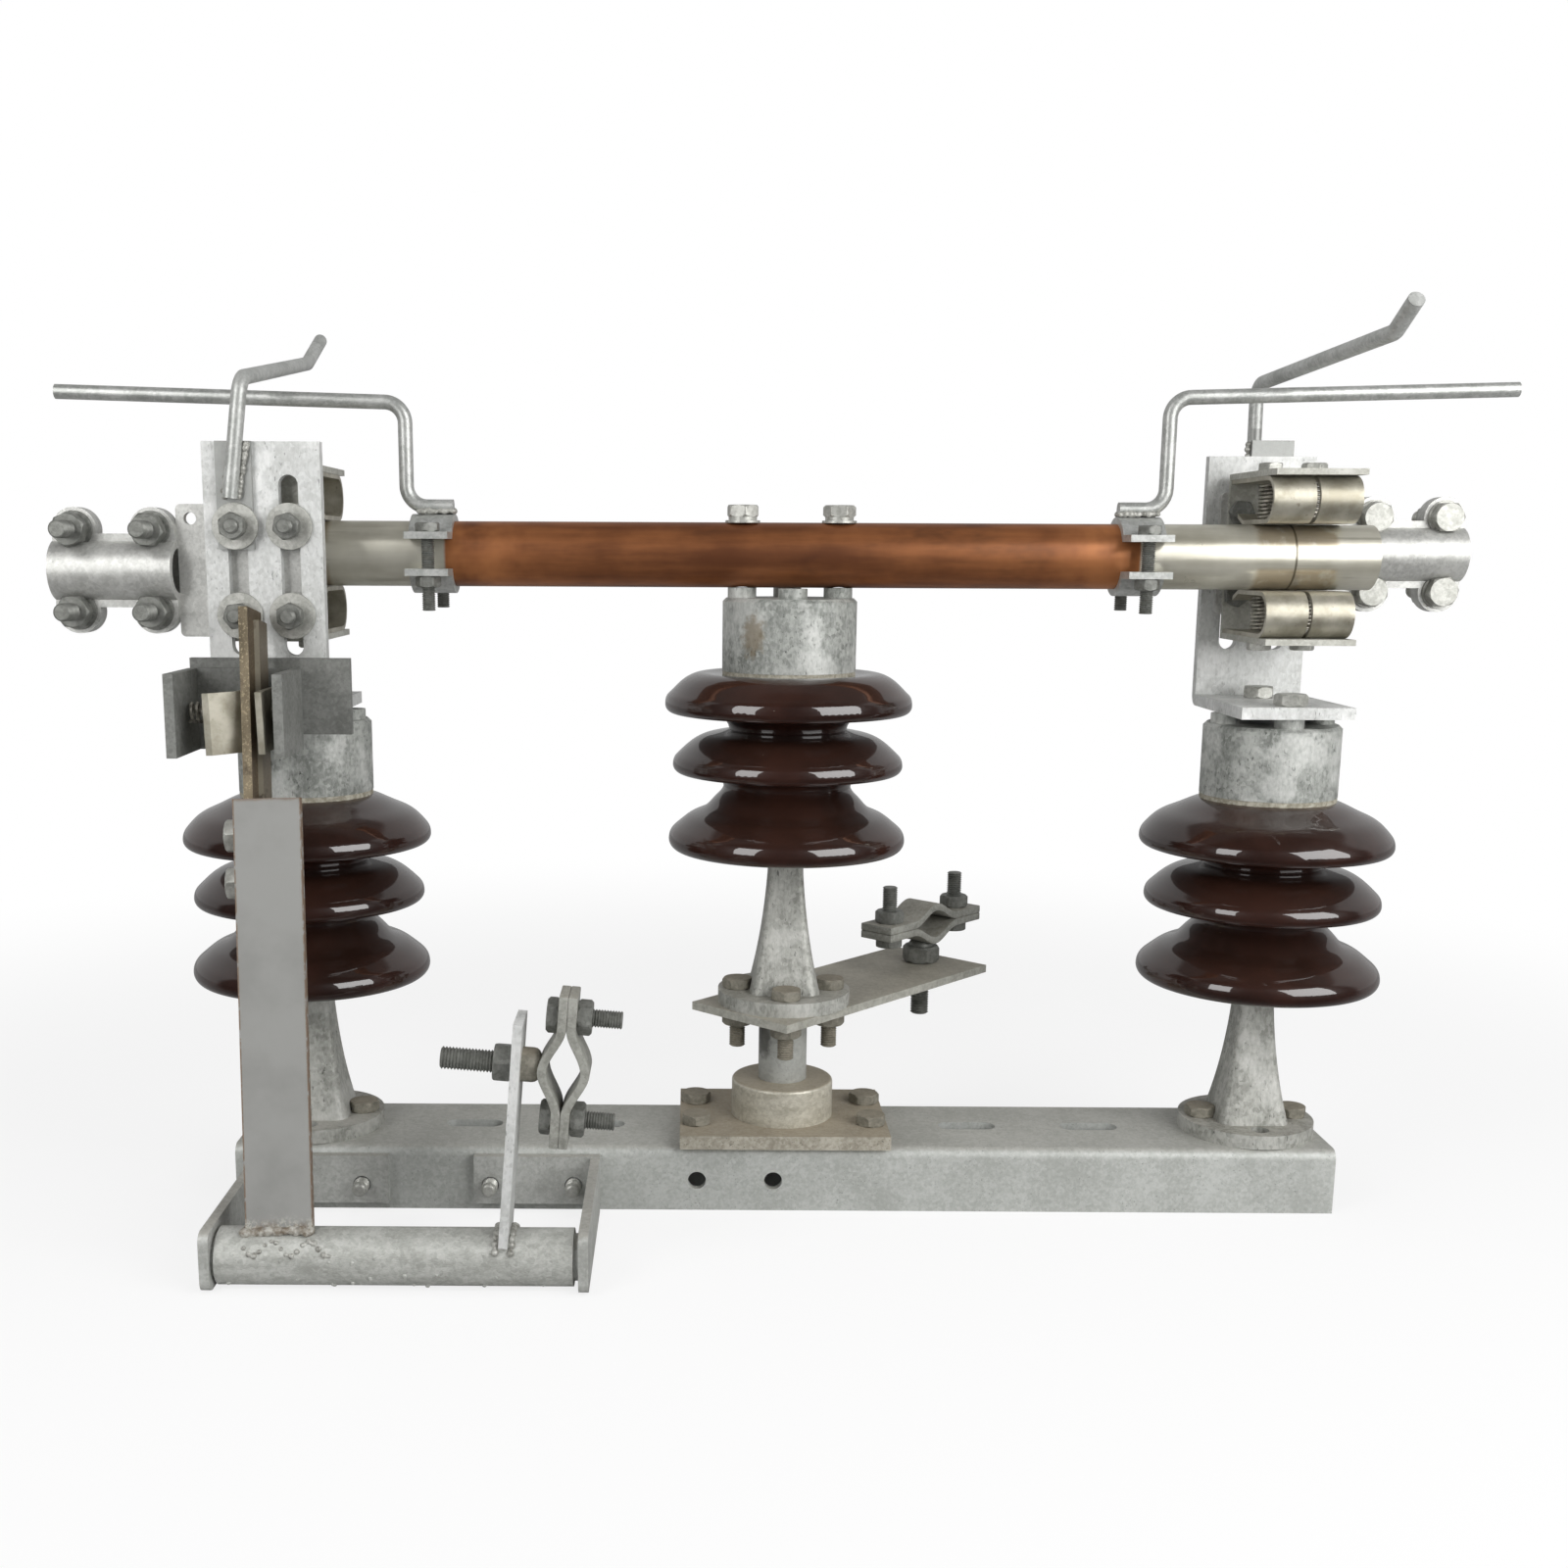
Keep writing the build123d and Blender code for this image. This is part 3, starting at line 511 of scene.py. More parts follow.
# the first entry that starts a node's name gives its finish
nodeFinish = {
    "base_channel": "channelZinc", "bearing_plate": "dustyZinc", "bearing_housing": "housingZinc",
    "rotor_shaft": "shaftZinc", "lever_plate": "leverZinc", "contact_tube": "tube", "earth_pipe": "pipeZinc",
    "earth_arm": "paint", "earth_blade": "blade", "earth_lever": "bracketZinc", "earth_jaw_fingers": "finger",
    "earth_jaw": "jawZinc", "earth_bearing": "footZinc", "horn_clamps": "hornZinc", "pedestal": "castZinc",
    "porcelain": "glaze", "cap": "capZinc", "bracket": "bracketZinc", "terminal": "terminalAlloy",
    "jaw_angles": "angleZinc", "jaw_fingers": "finger", "fixed_horn": "clipZinc", "moving_horn": "hornZinc",
}
for name, obj in nodes.items():
    kind = next((finish for start, finish in nodeFinish.items() if name.startswith(start)), "zincSheet")
    give(obj, finishes[kind])
print("materials given")


# shapes of the fasteners, each modelled once at the origin along +Z and then copied


def rod(sides, radius, height):
    clearPick()
    bpy.ops.mesh.primitive_cylinder_add(vertices=sides, radius=radius, depth=height, location=(0, 0, height / 2))
    return settle(bpy.context.object)


def softened(obj, width, segments):
    edge = obj.modifiers.new("soft", "BEVEL")
    edge.width, edge.segments, edge.limit_method = width, segments, "ANGLE"
    return applyAll(obj)


def hexShape(across, height, billetShare=0.57, chamfer=0.075):
    shape, billet = rod(6, across / sqrt(3), height), rod(48, across * billetShare, height)
    editMode(billet, "EDGE")
    pick(billet, lambda e: abs(e.verts[0].co.z - e.verts[1].co.z) < 1e-6, "EDGE")
    bpy.ops.mesh.bevel(offset=across * chamfer, segments=1)
    editDone(billet)
    takeUp(shape)
    cut = shape.modifiers.new("corners", "BOOLEAN")
    cut.operation, cut.object, cut.solver = "INTERSECT", billet, "EXACT"
    applyAll(shape)
    bpy.data.objects.remove(billet)
    return outward(shape)


def ringShape(inner, outer, height, soften=0.15 * mm, sides=40):
    clearPick()
    bpy.ops.mesh.primitive_circle_add(vertices=sides, radius=inner, fill_type="NOTHING")
    shape = bpy.context.object
    editMode(shape, "EDGE")
    pickAll()
    bpy.ops.mesh.extrude_region_move()
    bpy.ops.transform.resize(value=(outer / inner,) * 2 + (1,))
    pickAll()
    bpy.ops.mesh.extrude_region_move(TRANSFORM_OT_translate={"value": (0, 0, height)})
    pickAll()
    bpy.ops.mesh.normals_make_consistent(inside=False)
    editDone(shape)
    if soften:
        softened(shape, soften, 1)
    return outward(shape)


def closedEnds(shape):
    editMode(shape, "EDGE")
    pick(shape, lambda e: e.is_boundary, "EDGE")
    bpy.ops.mesh.edge_face_add()
    editDone(shape)
    return outward(shape)


def splitRing(inner, outer, height, gap=14):
    clearPick()
    bpy.ops.mesh.primitive_plane_add(size=1, location=((inner + outer) / 2, 0, height / 2),
                                     rotation=(pi / 2, 0, 0))
    shape = bpy.context.object
    shape.scale = (outer - inner, height, 1)
    settle(shape)
    editMode(shape)
    pickAll()
    bpy.ops.mesh.spin(steps=26, angle=radians(360 - gap), center=(0, 0, 0), axis=(0, 0, 1))
    editDone(shape)
    return closedEnds(shape)


def threadShape(radius, length, pitch, sides=20):
    turns = max(2, int(length / pitch))
    root = radius - pitch * 0.6
    clearPick()
    bpy.ops.mesh.primitive_circle_add(vertices=sides, radius=root, fill_type="NOTHING")
    shape = bpy.context.object
    editMode(shape, "EDGE")
    pickAll()
    for grow in (radius / root, root / radius):
        bpy.ops.mesh.extrude_region_move(TRANSFORM_OT_translate={"value": (0, 0, pitch / 2)})
        bpy.ops.transform.resize(value=(grow, grow, 1))
    editDone(shape)
    row = shape.modifiers.new("turns", "ARRAY")
    row.count, row.use_relative_offset, row.use_constant_offset = turns, False, True
    row.constant_offset_displace = (0, 0, pitch)
    row.use_merge_vertices, row.merge_threshold = True, 0.00001
    applyAll(shape)
    return closedEnds(shape)


def coilShape(radius, wire, height, turns):
    clearPick()
    bpy.ops.mesh.primitive_circle_add(vertices=10, radius=wire, fill_type="NOTHING",
                                      location=(radius - wire, 0, wire), rotation=(pi / 2, 0, 0))
    shape = settle(bpy.context.object)
    wind = shape.modifiers.new("wind", "SCREW")
    wind.angle, wind.screw_offset, wind.iterations = 2 * pi, (height - 2 * wire) / turns, turns
    wind.steps = wind.render_steps = 18
    wind.use_smooth_shade = True
    applyAll(shape)
    return closedEnds(shape)


# overlapping lumps fused into one skin, for weld beads and zinc runs
def lumpyShape(spots, size, finish, seed):
    dice = random.Random(seed)
    lumps = []
    for spot in spots:
        clearPick()
        bpy.ops.mesh.primitive_ico_sphere_add(subdivisions=2, radius=size * dice.uniform(0.8, 1.2), location=spot)
        lump = bpy.context.object
        lump.scale = (dice.uniform(0.9, 1.15), dice.uniform(0.9, 1.15), 1)
        lumps.append(settle(lump))
    skin = joined(lumps)
    fuse = skin.modifiers.new("fuse", "REMESH")
    fuse.mode, fuse.voxel_size = "VOXEL", size * 0.24
    relax = skin.modifiers.new("relax", "SMOOTH")
    relax.factor, relax.iterations = 0.5, 2
    applyAll(skin)
    return give(smooth(outward(skin), 70), finishes[finish])


def beads(start, end, count, jitter, seed):
    dice = random.Random(seed)
    start, end = Vector(start), Vector(end)
    shake = lambda: Vector([dice.uniform(-jitter, jitter) for _ in range(3)])
    return [start.lerp(end, i / (count - 1)) + shake() for i in range(count)]


templates = []


def stock(shape, finish, angle=35):
    templates.append(named(give(smooth(shape, angle), finishes[finish]), "stock"))
    return shape


def laid(template, where, along=(0, 0, 1), turn=0.0, finish=None):
    obj = template.copy()
    obj.data = template.data.copy()
    bpy.context.scene.collection.objects.link(obj)
    spin = Vector((0, 0, 1)).rotation_difference(Vector(along).normalized()).to_matrix().to_4x4()
    obj.data.transform(Matrix.Translation(Vector(where)) @ spin @ Matrix.Rotation(radians(turn), 4, "Z"))
    if finish:
        give(obj, finishes[finish])
    return obj


def gathered(parts, name, body):
    obj = named(joined(parts), name)
    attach(obj, body)
    return obj


class Fasteners:
    def __init__(self, size, across, head, nut, pitch, washer, thick, finish):
        self.radius, self.washer, self.lock = size / 2 * mm, thick * mm, thick * 1.2 * mm
        self.headShape = stock(hexShape(across * mm, head * mm), finish)
        self.nutShape = stock(hexShape(across * mm, nut * mm), finish)
        hole = size * 0.52 * mm
        self.washerShape = stock(ringShape(hole, washer * mm, self.washer), finish)
        self.lockShape = stock(splitRing(hole, size * 0.84 * mm, self.lock), finish)
        self.pitch, self.finish, self.threads = pitch * mm, finish, {}

    def thread(self, length):
        key = round(length / mm)
        if key not in self.threads:
            self.threads[key] = stock(threadShape(self.radius, length, self.pitch), self.finish)
        return self.threads[key]

    # washers: 0 for none, 1 for a flat one, 2 for a spring washer on it
    def under(self, where, along, turn, washers, bright=None):
        parts, lift = [], 0.0
        if washers > 0:
            parts.append(laid(self.washerShape, where, along, 0, bright))
            lift += self.washer
        if washers > 1:
            parts.append(laid(self.lockShape, where + along * lift, along, turn))
            lift += self.lock
        return parts, where + along * lift

    def headOn(self, where, along, turn=0.0, washers=0):
        along = Vector(along).normalized()
        parts, seat = self.under(Vector(where), along, turn, washers)
        return parts + [laid(self.headShape, seat, along, turn)]

    def nutOn(self, where, along, stud, turn=0.0, washers=0, inside=0.0, bright=None):
        where, along = Vector(where), Vector(along).normalized()
        parts, seat = self.under(where, along, turn, washers, bright)
        parts.append(laid(self.nutShape, seat, along, turn))
        parts.append(laid(self.thread((stud + inside) * mm), where - along * inside * mm, along))
        return parts


# thread, across flats, head, nut, pitch, washer radius, washer thickness, finish
fastenerSizes = {
    "small": (8, 13, 5.3, 6.5, 1.25, 8, 1.4, "boltZinc"),
    "shelf": (8, 13, 5.3, 6.5, 1.25, 8, 1.4, "brightBolt"),
    "wide": (8, 13.5, 5.5, 6.6, 1.25, 12.9, 1.8, "boltZinc"),
    "bolt": (10, 17, 6.4, 8, 1.5, 10.5, 1.8, "boltZinc"),
    "dull": (10, 17, 6.4, 8, 1.5, 10.5, 1.8, "dullBolt"),
    "bright": (10, 17, 7.0, 8, 1.5, 10.3, 1.6, "brightBolt"),
    "twelve": (12, 19, 7.5, 10, 1.75, 12, 2.0, "boltZinc"),
}
kinds = {name: Fasteners(*sizes) for name, sizes in fastenerSizes.items()}
print("fasteners modelled")

# fixed contacts: the left set is the right one turned half a turn about the centre
sides = {"right": {"turn": 1, "bracket": 293.0, "lift": 2.0, "terminal": "bright"},
         "left": {"turn": -1, "bracket": 298.5, "lift": -10.0, "terminal": "bolt"}}
axisZ = contacts["axis"]


def headRow(kind, spots, turns, name, body, washers=0):
    parts = []
    for spot, turn in zip(spots, turns):
        parts += kinds[kind].headOn(at(*spot), (0, 0, 1), turn, washers)
    gathered(parts, name, body)


def turned(side, x, y, z):
    s = sides[side]["turn"]
    return at(s * x, s * y, z)


bracketBolts = {"across": (-14.75, 14.75), "up": (-24.75, 24.75), "stud": 16.5, "clip": 3}
shelfBolts = {"across": (-13, 13), "y": 10, "turn": 20, "twist": 8}
footBolts = {"across": (-contacts["circle"], contacts["circle"]), "turns": (12, 40)}
terminalBolts = {"x": (361.75, 405.25), "up": (-22.6, 22.6), "heads": 45, "nuts": 55, "stud": 27}


def fixedBolts(side):
    dice = random.Random(sides[side]["bracket"])
    s, middle, height = sides[side]["turn"], sides[side]["bracket"], axisZ + sides[side]["lift"]
    spin = lambda: dice.uniform(0, 60)
    parts = []
    for dx in bracketBolts["across"]:
        for dz in bracketBolts["up"]:
            clip = bracketBolts["clip"] if dx > 0 and dz > 0 else 0
            seat = turned(side, middle + dx, contacts["plateFace"] + clip, height + dz)
            parts += kinds["wide"].nutOn(seat, (0, s, 0), bracketBolts["stud"] - clip, spin(), 2,
                                         bright="brightBolt")
            seat = turned(side, middle + dx, contacts["jawBack"], height + dz)
            parts += kinds["wide"].headOn(seat, (0, -s, 0), spin())
    gathered(parts, "bracket_bolts_" + side, "base")
    parts = []
    for dx in shelfBolts["across"]:
        for up in (1, -1):
            seat = turned(side, contacts["middle"] + dx, shelfBolts["y"], axisZ + up * contacts["shelf"])
            turn = shelfBolts["turn"] + shelfBolts["twist"] * dx
            parts += kinds["shelf"].headOn(seat, (0, 0, up), turn)
    gathered(parts, "shelf_bolts_" + side, "base")
    headRow("bright", [(s * contacts["post"], y, contacts["seat"]) for y in footBolts["across"]],
            footBolts["turns"], "foot_bolts_" + side, "base")
    parts = []
    for x in terminalBolts["x"]:
        for dz in terminalBolts["up"]:
            kind = kinds[sides[side]["terminal"]]
            front, rear = (turned(side, x, terminalBolts[face], height + dz) for face in ("heads", "nuts"))
            parts += kind.headOn(front, (0, -s, 0), spin(), 1)
            parts += kind.nutOn(rear, (0, s, 0), terminalBolts["stud"], spin(), 2)
    gathered(parts, "terminal_bolts_" + side, "base")


for side in sides:
    fixedBolts(side)

# coil springs of the jaws
jawCoils = {"size": (6.0, 0.85, 22), "turns": 9, "lift": 21.8, "turn": 40}
coilStock = stock(coilShape(*inMm(jawCoils["size"]), jawCoils["turns"]), "spring", 60)
for side in sides:
    parts = []
    for dx in shelfBolts["across"]:
        for up in (1, -1):
            foot = turned(side, contacts["middle"] + dx, shelfBolts["y"], axisZ + up * jawCoils["lift"])
            parts.append(laid(coilStock, foot, (0, 0, up), jawCoils["turn"]))
    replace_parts(gathered(parts, "jaw_coils_" + side, "base"), "jaw_springs_" + side)

# pale cement squeezed out under the caps
cementRing = {"size": (34.9, 39.7, 3.4), "sides": 90, "drop": 3.3, "ragged": 0.45, "below": 0.9,
              "caps": {"left": (-292.5, 253, "base"), "right": (292.5, 253, "base"),
                       "centre": (0, 326.3, "rotor")}}
for index, (name, (x, z, body)) in enumerate(cementRing["caps"].items()):
    inner, outer, height = inMm(cementRing["size"])
    ring = ringShape(inner, outer, height, None, cementRing["sides"])
    editMode(ring, "VERT")
    pickAll()
    bpy.ops.mesh.subdivide(number_cuts=1)
    pick(ring, lambda v: v.co.z < cementRing["below"] * height, "VERT")
    bpy.ops.transform.vertex_random(offset=cementRing["ragged"] * mm, seed=index)
    editDone(ring)
    ring.data.transform(Matrix.Translation(at(x, 0, z - cementRing["drop"])))
    give(smooth(outward(ring), 60), finishes["cement"])
    gathered([ring], "cement_" + name, body)

# bolts of the post feet, the bearing, the rotor flange, the tube and the horn clamps
postFootBolts = {"x": (-contacts["post"], contacts["post"]), "seat": 48.5, "turns": (10, 35)}
headRow("dull", [(x + dx, 0, postFootBolts["seat"]) for x in postFootBolts["x"] for dx in footBolts["across"]],
        postFootBolts["turns"] * 2, "post_foot_bolts", "base")

bearingBolts = {"at": ((-54, -21), (-54, 21), (54, -21), (54, 21)), "seat": 48.5, "turn": 14}
headRow("dull", [(x, y, bearingBolts["seat"]) for x, y in bearingBolts["at"]],
        [bearingBolts["turn"] + x + y for x, y in bearingBolts["at"]], "bearing_bolts", "base")

rotorFlange = {"top": 129.8, "under": 116.3, "stud": 24, "turns": (17, 25)}
parts = []
for i in range(4):
    x, y = (contacts["circle"] * part(i * pi / 2) for part in (cos, sin))
    turn, back = (i * step for step in rotorFlange["turns"])
    parts += kinds["dull"].headOn(at(x, y, rotorFlange["top"]), (0, 0, 1), turn)
    parts += kinds["dull"].nutOn(at(x, y, rotorFlange["under"]), (0, 0, -1), rotorFlange["stud"], back, 1)
gathered(parts, "rotor_flange_bolts", "rotor")

tubeBolts = {"seat": axisZ + 18.6, "turns": (8, 24)}
headRow("bright", [(x, 0, tubeBolts["seat"]) for x in footBolts["across"]], tubeBolts["turns"], "tube_bolts",
        "rotor", 2)

hornClamps = {"x": (-211, 204.5), "y": (-29, 29), "ear": 12.5, "stud": 20, "twist": 3}
parts = []
for x in hornClamps["x"]:
    for y in hornClamps["y"]:
        seat, under = (at(x, y, axisZ + up * hornClamps["ear"]) for up in (1, -1))
        parts += kinds["small"].headOn(seat, (0, 0, 1), hornClamps["twist"] * x + y)
        parts += kinds["small"].nutOn(under, (0, 0, -1), hornClamps["stud"], x + y, inside=2 * hornClamps["ear"])
gathered(parts, "horn_clamp_bolts", "rotor")
print("post, rotor and horn bolts placed")

# welds of the arcing horns
hornWelds = {"size": 1.9, "saddle": 24.6, "spread": 3.9, "count": 9, "jitter": 0.4, "left": (-219, -200),
             "right": (193.5, 215)}
parts = []
for name in ("left", "right"):
    for s in (-1, 1):
        start, end = (at(x, s * hornWelds["spread"], axisZ + hornWelds["saddle"]) for x in hornWelds[name])
        row = beads(start, end, hornWelds["count"], hornWelds["jitter"] * mm, s + 5)
        parts.append(lumpyShape(row, hornWelds["size"] * mm, "weldZinc", s + 9))
gathered(parts, "moving_horn_welds", "rotor")

clipWelds = {"size": 1.8, "face": 61.2, "spread": 4.2, "count": 12, "jitter": 0.4,
             "left": ((-314.6, 31), (-309.6, 59)), "right": ((291.4, 32), (290.8, 69))}
for name, s in (("left", -1), ("right", 1)):
    parts = []
    for shift in (-1, 1):
        aside = shift * clipWelds["spread"]
        low, high = (at(x + aside, s * clipWelds["face"], axisZ + z) for x, z in clipWelds[name])
        row = beads(low, high, clipWelds["count"], clipWelds["jitter"] * mm, shift + 3)
        parts.append(lumpyShape(row, clipWelds["size"] * mm, "weldZinc", shift + 4))
    gathered(parts, "fixed_horn_welds_" + name, "base")

# bars of the pipe clamps: flat ends and a hump bent over the pipe
clampBars = {"thick": 5, "width": 25, "sag": 9, "hump": 24, "steps": 24, "soften": 0.7}


def humpAt(u):
    t = min(abs(u) / clampBars["hump"], 1)
    return clampBars["sag"] * (1 - t * t * (3 - 2 * t))


def clampBar(length, frame):
    hump, steps = clampBars["hump"], clampBars["steps"]
    clearPick()
    bpy.ops.mesh.primitive_plane_add(size=1, location=at(-length / 2, 0, clampBars["thick"] / 2),
                                     rotation=(0, pi / 2, 0))
    bar = bpy.context.object
    bar.scale = (clampBars["thick"] * mm, clampBars["width"] * mm, 1)
    settle(bar)
    editMode(bar)
    pickAll()
    stops = [-length / 2] + [hump * (2 * i / steps - 1) for i in range(steps + 1)] + [length / 2]
    for near, far in zip(stops, stops[1:]):
        move = at(far - near, 0, humpAt(far) - humpAt(near))
        bpy.ops.mesh.extrude_region_move(TRANSFORM_OT_translate={"value": move})
    editDone(bar)
    softened(bar, clampBars["soften"] * mm, 2)
    bar.data.transform(frame)
    return give(smooth(closedEnds(bar), 30), finishes["clampZinc"])


def clampBolts(clamp, middle, row, out, name, body):
    face = out * (clampBars["thick"] * mm)
    parts = []
    for s in (-1, 1):
        spot = middle + row * (clamp["bolts"] * s * mm)
        turn = clamp["turn"] + clamp["twist"] * s
        parts += kinds["bolt"].nutOn(spot + face, out, clamp["stud"], turn)
        parts += kinds["bolt"].headOn(spot - face, -out, clamp["headTurn"])
    gathered(parts, name, body)


def domedStud(radius, length, dome=0.45):
    shape = rod(32, radius, length)
    editMode(shape)
    pick(shape, lambda f: f.normal.z > 0.9)
    bpy.ops.mesh.bevel(offset=radius * dome, segments=4)
    editDone(shape)
    return outward(shape)


# pipe clamp on the lever plate
mainClamp = {"angle": 46.5, "reach": 145, "plate": 121.3, "standoff": 14, "bars": 14, "bolts": 37, "stud": 24,
             "turn": 20, "twist": 9, "headTurn": 35, "length": 103, "neck": (8.5, 15.5)}
direction = Vector((cos(radians(mainClamp["angle"])), sin(radians(mainClamp["angle"])), 0))
stud = direction * (mainClamp["reach"] * mm) + at(0, 0, mainClamp["plate"])
middle = stud + at(0, 0, mainClamp["standoff"] + mainClamp["bars"])
clampBolts(mainClamp, middle, direction, Vector((0, 0, 1)), "main_clamp_bolts", "operating_clamp")
clampFrame = Matrix.Translation(middle) @ Matrix.Rotation(radians(mainClamp["angle"]), 4, "Z")
upper = clampBar(mainClamp["length"], clampFrame)
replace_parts(gathered([upper], "main_clamp_bar_upper", "operating_clamp"), "main_clamp_upper")
neck = stock(domedStud(*inMm(mainClamp["neck"])), "boltZinc")
parts = [clampBar(mainClamp["length"], clampFrame @ Matrix.Rotation(pi, 4, "X")), laid(neck, stud)]
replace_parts(gathered(parts, "main_clamp_bar_lower", "operating_clamp"), "main_clamp_lower")

mainStud = {"hex": (22, 11), "gap": 0.4, "turn": 12, "thread": (6.15, 31.5, 1.75), "below": 5}
studHex = stock(hexShape(*inMm(mainStud["hex"])), "boltZinc")
studThread = stock(threadShape(*inMm(mainStud["thread"])), "boltZinc")
parts = [laid(studHex, stud + at(0, 0, mainStud["gap"]), (0, 0, 1), mainStud["turn"]),
         laid(studThread, stud - at(0, 0, mainStud["below"]), (0, 0, -1))]
gathered(parts, "main_stud_nut", "operating_clamp")

# pipe clamp on the earth lever, tilted toward the centre
earthClamp = {"tilt": 4.5, "foot": (-159.5, *pipeAxis), "height": 110.5, "half": 2.5, "standoff": 9, "bars": 14,
              "bolts": 28.5, "stud": 24, "turn": 15, "twist": 0, "headTurn": 40, "length": 84,
              "collar": (9.4, 10.2), "nutTurn": 12, "thread": (6.2, 39.5, 1.75)}
tilt = radians(earthClamp["tilt"])
leverUp, leverOut = Vector((sin(tilt), 0, cos(tilt))), Vector((cos(tilt), 0, -sin(tilt)))
studPoint = at(*earthClamp["foot"]) + leverUp * (earthClamp["height"] * mm)
clampMid = studPoint + leverOut * ((earthClamp["half"] + earthClamp["standoff"] + earthClamp["bars"]) * mm)
clampBolts(earthClamp, clampMid, leverUp, leverOut, "earth_clamp_bolts", "earth_clamp")
clampFrame = Matrix.Translation(clampMid) @ Matrix.Rotation(tilt + pi / 2, 4, "Y")
outer = clampBar(earthClamp["length"], clampFrame)
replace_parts(gathered([outer], "earth_clamp_bar_outer", "earth_clamp"), "earth_clamp_outer")
collar = stock(domedStud(*inMm(earthClamp["collar"])), "dullBolt")
parts = [clampBar(earthClamp["length"], clampFrame @ Matrix.Rotation(pi, 4, "X")),
         laid(collar, studPoint + leverOut * (earthClamp["half"] * mm), leverOut)]
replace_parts(gathered(parts, "earth_clamp_bar_inner", "earth_clamp"), "earth_clamp_inner")
studFace = studPoint - leverOut * (earthClamp["half"] * mm)
studNut = laid(kinds["twelve"].nutShape, studFace, -leverOut, earthClamp["nutTurn"])
gathered([studNut], "earth_stud_nut", "earth_clamp")
studThread = stock(threadShape(*inMm(earthClamp["thread"])), "boltZinc")
gathered([laid(studThread, studFace, -leverOut)], "earth_stud_thread", "earth_clamp")
print("pipe clamps dressed")


# earth switch: studs of the feet, blade bolts, welds, zinc drops, coils
footStuds = {"x": (-257, -179, -128.5), "y": -48, "z": 17.5, "core": (4.8 * 0.92, 11), "thread": (4.8, 7.5, 1.5)}
domeStock = stock(domedStud(*inMm(footStuds["core"])), "brightBolt", 60)
threadStock = stock(threadShape(*inMm(footStuds["thread"])), "brightBolt")
parts = []
for x in footStuds["x"]:
    spot = at(x, footStuds["y"], footStuds["z"])
    parts += [laid(domeStock, spot, (0, -1, 0)), laid(threadStock, spot, (0, -1, 0))]
gathered(parts, "earth_foot_studs", "base")

armFrame = Matrix.Translation(at(*armPose["foot"])) @ armTurn
armX = armTurn.to_3x3() @ Vector((1, 0, 0))
bladeBolts = {"z": (230, 204), "y": 6, "left": -7.5, "right": 2.5, "stud": 12, "turn": 15}
parts = []
for z in bladeBolts["z"]:
    left, right = (armFrame @ at(bladeBolts[end], bladeBolts["y"], z) for end in ("left", "right"))
    parts += kinds["bright"].headOn(left, -armX, bladeBolts["turn"])
    parts += kinds["dull"].nutOn(right, armX, bladeBolts["stud"])
gathered(parts, "blade_bolts", "earth_switch")

# welds round the arm's foot, in its frame (start, end, count of lumps, jitter), and one along the pipe
armWeld = {"size": 2.6, "runs": (((-6.5, -8.6, 14.6), (28, -8.6, 14.6), 14, 0.8),
                                 ((-7.5, -8.6, 14.6), (-7.5, 0, 16.2), 4, 0.5),
                                 ((-7.5, 0, 16.2), (-7.5, 14, 9), 6, 0.5))}
spots = []
for seed, (start, end, count, jitter) in enumerate(armWeld["runs"], 3):
    spots += beads(at(*start), at(*end), count, jitter * mm, seed)
bead = lumpyShape([armFrame @ spot for spot in spots], armWeld["size"] * mm, "weldScale", 6)


def onPipe(x, radius, angle):
    return at(x, pipeAxis[0] + radius * sin(angle), pipeAxis[1] + radius * cos(angle))


weldRun = {"count": 17, "start": -299, "pitch": 2.9, "angle": -54, "sway": -15, "wave": 0.9, "pipe": 15.2,
           "size": 1.7}
spots = []
for i in range(weldRun["count"]):
    angle = radians(weldRun["angle"] + weldRun["sway"] * sin(weldRun["wave"] * i))
    spots.append(onPipe(weldRun["start"] + weldRun["pitch"] * i, weldRun["pipe"], angle))
run = lumpyShape(spots, weldRun["size"] * mm, "weldZinc", 8)
gathered([bead, run], "arm_weld", "earth_switch")

leverWeld = {"size": 2.3, "half": 4.2, "reach": 14, "pipe": 15.9, "lift": 0.4, "steps": 5}
parts = []
leverFrame = Matrix.Translation(at(*earthClamp["foot"])) @ Matrix.Rotation(tilt, 4, "Y")
for s in (-1, 1):
    spots = []
    for i in range(2 * leverWeld["steps"] + 1):
        y = leverWeld["reach"] * (i / leverWeld["steps"] - 1)
        rise = sqrt(leverWeld["pipe"] ** 2 - y * y) + leverWeld["lift"]
        spots.append(leverFrame @ at(s * leverWeld["half"], y, rise))
    parts.append(lumpyShape(spots, leverWeld["size"] * mm, "weldZinc", s + 12))
gathered(parts, "lever_welds", "earth_switch")

zincDrops = {"count": 26, "x": (-310, -135), "size": (0.7, 1.5), "pipe": 15.1, "angles": (210, 300), "tail": 0.6}
dice = random.Random(11)
parts = []
for i in range(zincDrops["count"]):
    angle = radians(dice.uniform(*zincDrops["angles"]))
    x, size = dice.uniform(*zincDrops["x"]), dice.uniform(*zincDrops["size"])
    drop = onPipe(x, zincDrops["pipe"], angle)
    tail = drop + at(dice.uniform(-1, 1) * size, 0, -zincDrops["tail"] * size)
    parts.append(lumpyShape([drop, tail], size * mm, "pipeZinc", i))
gathered(parts, "pipe_drops", "earth_switch")

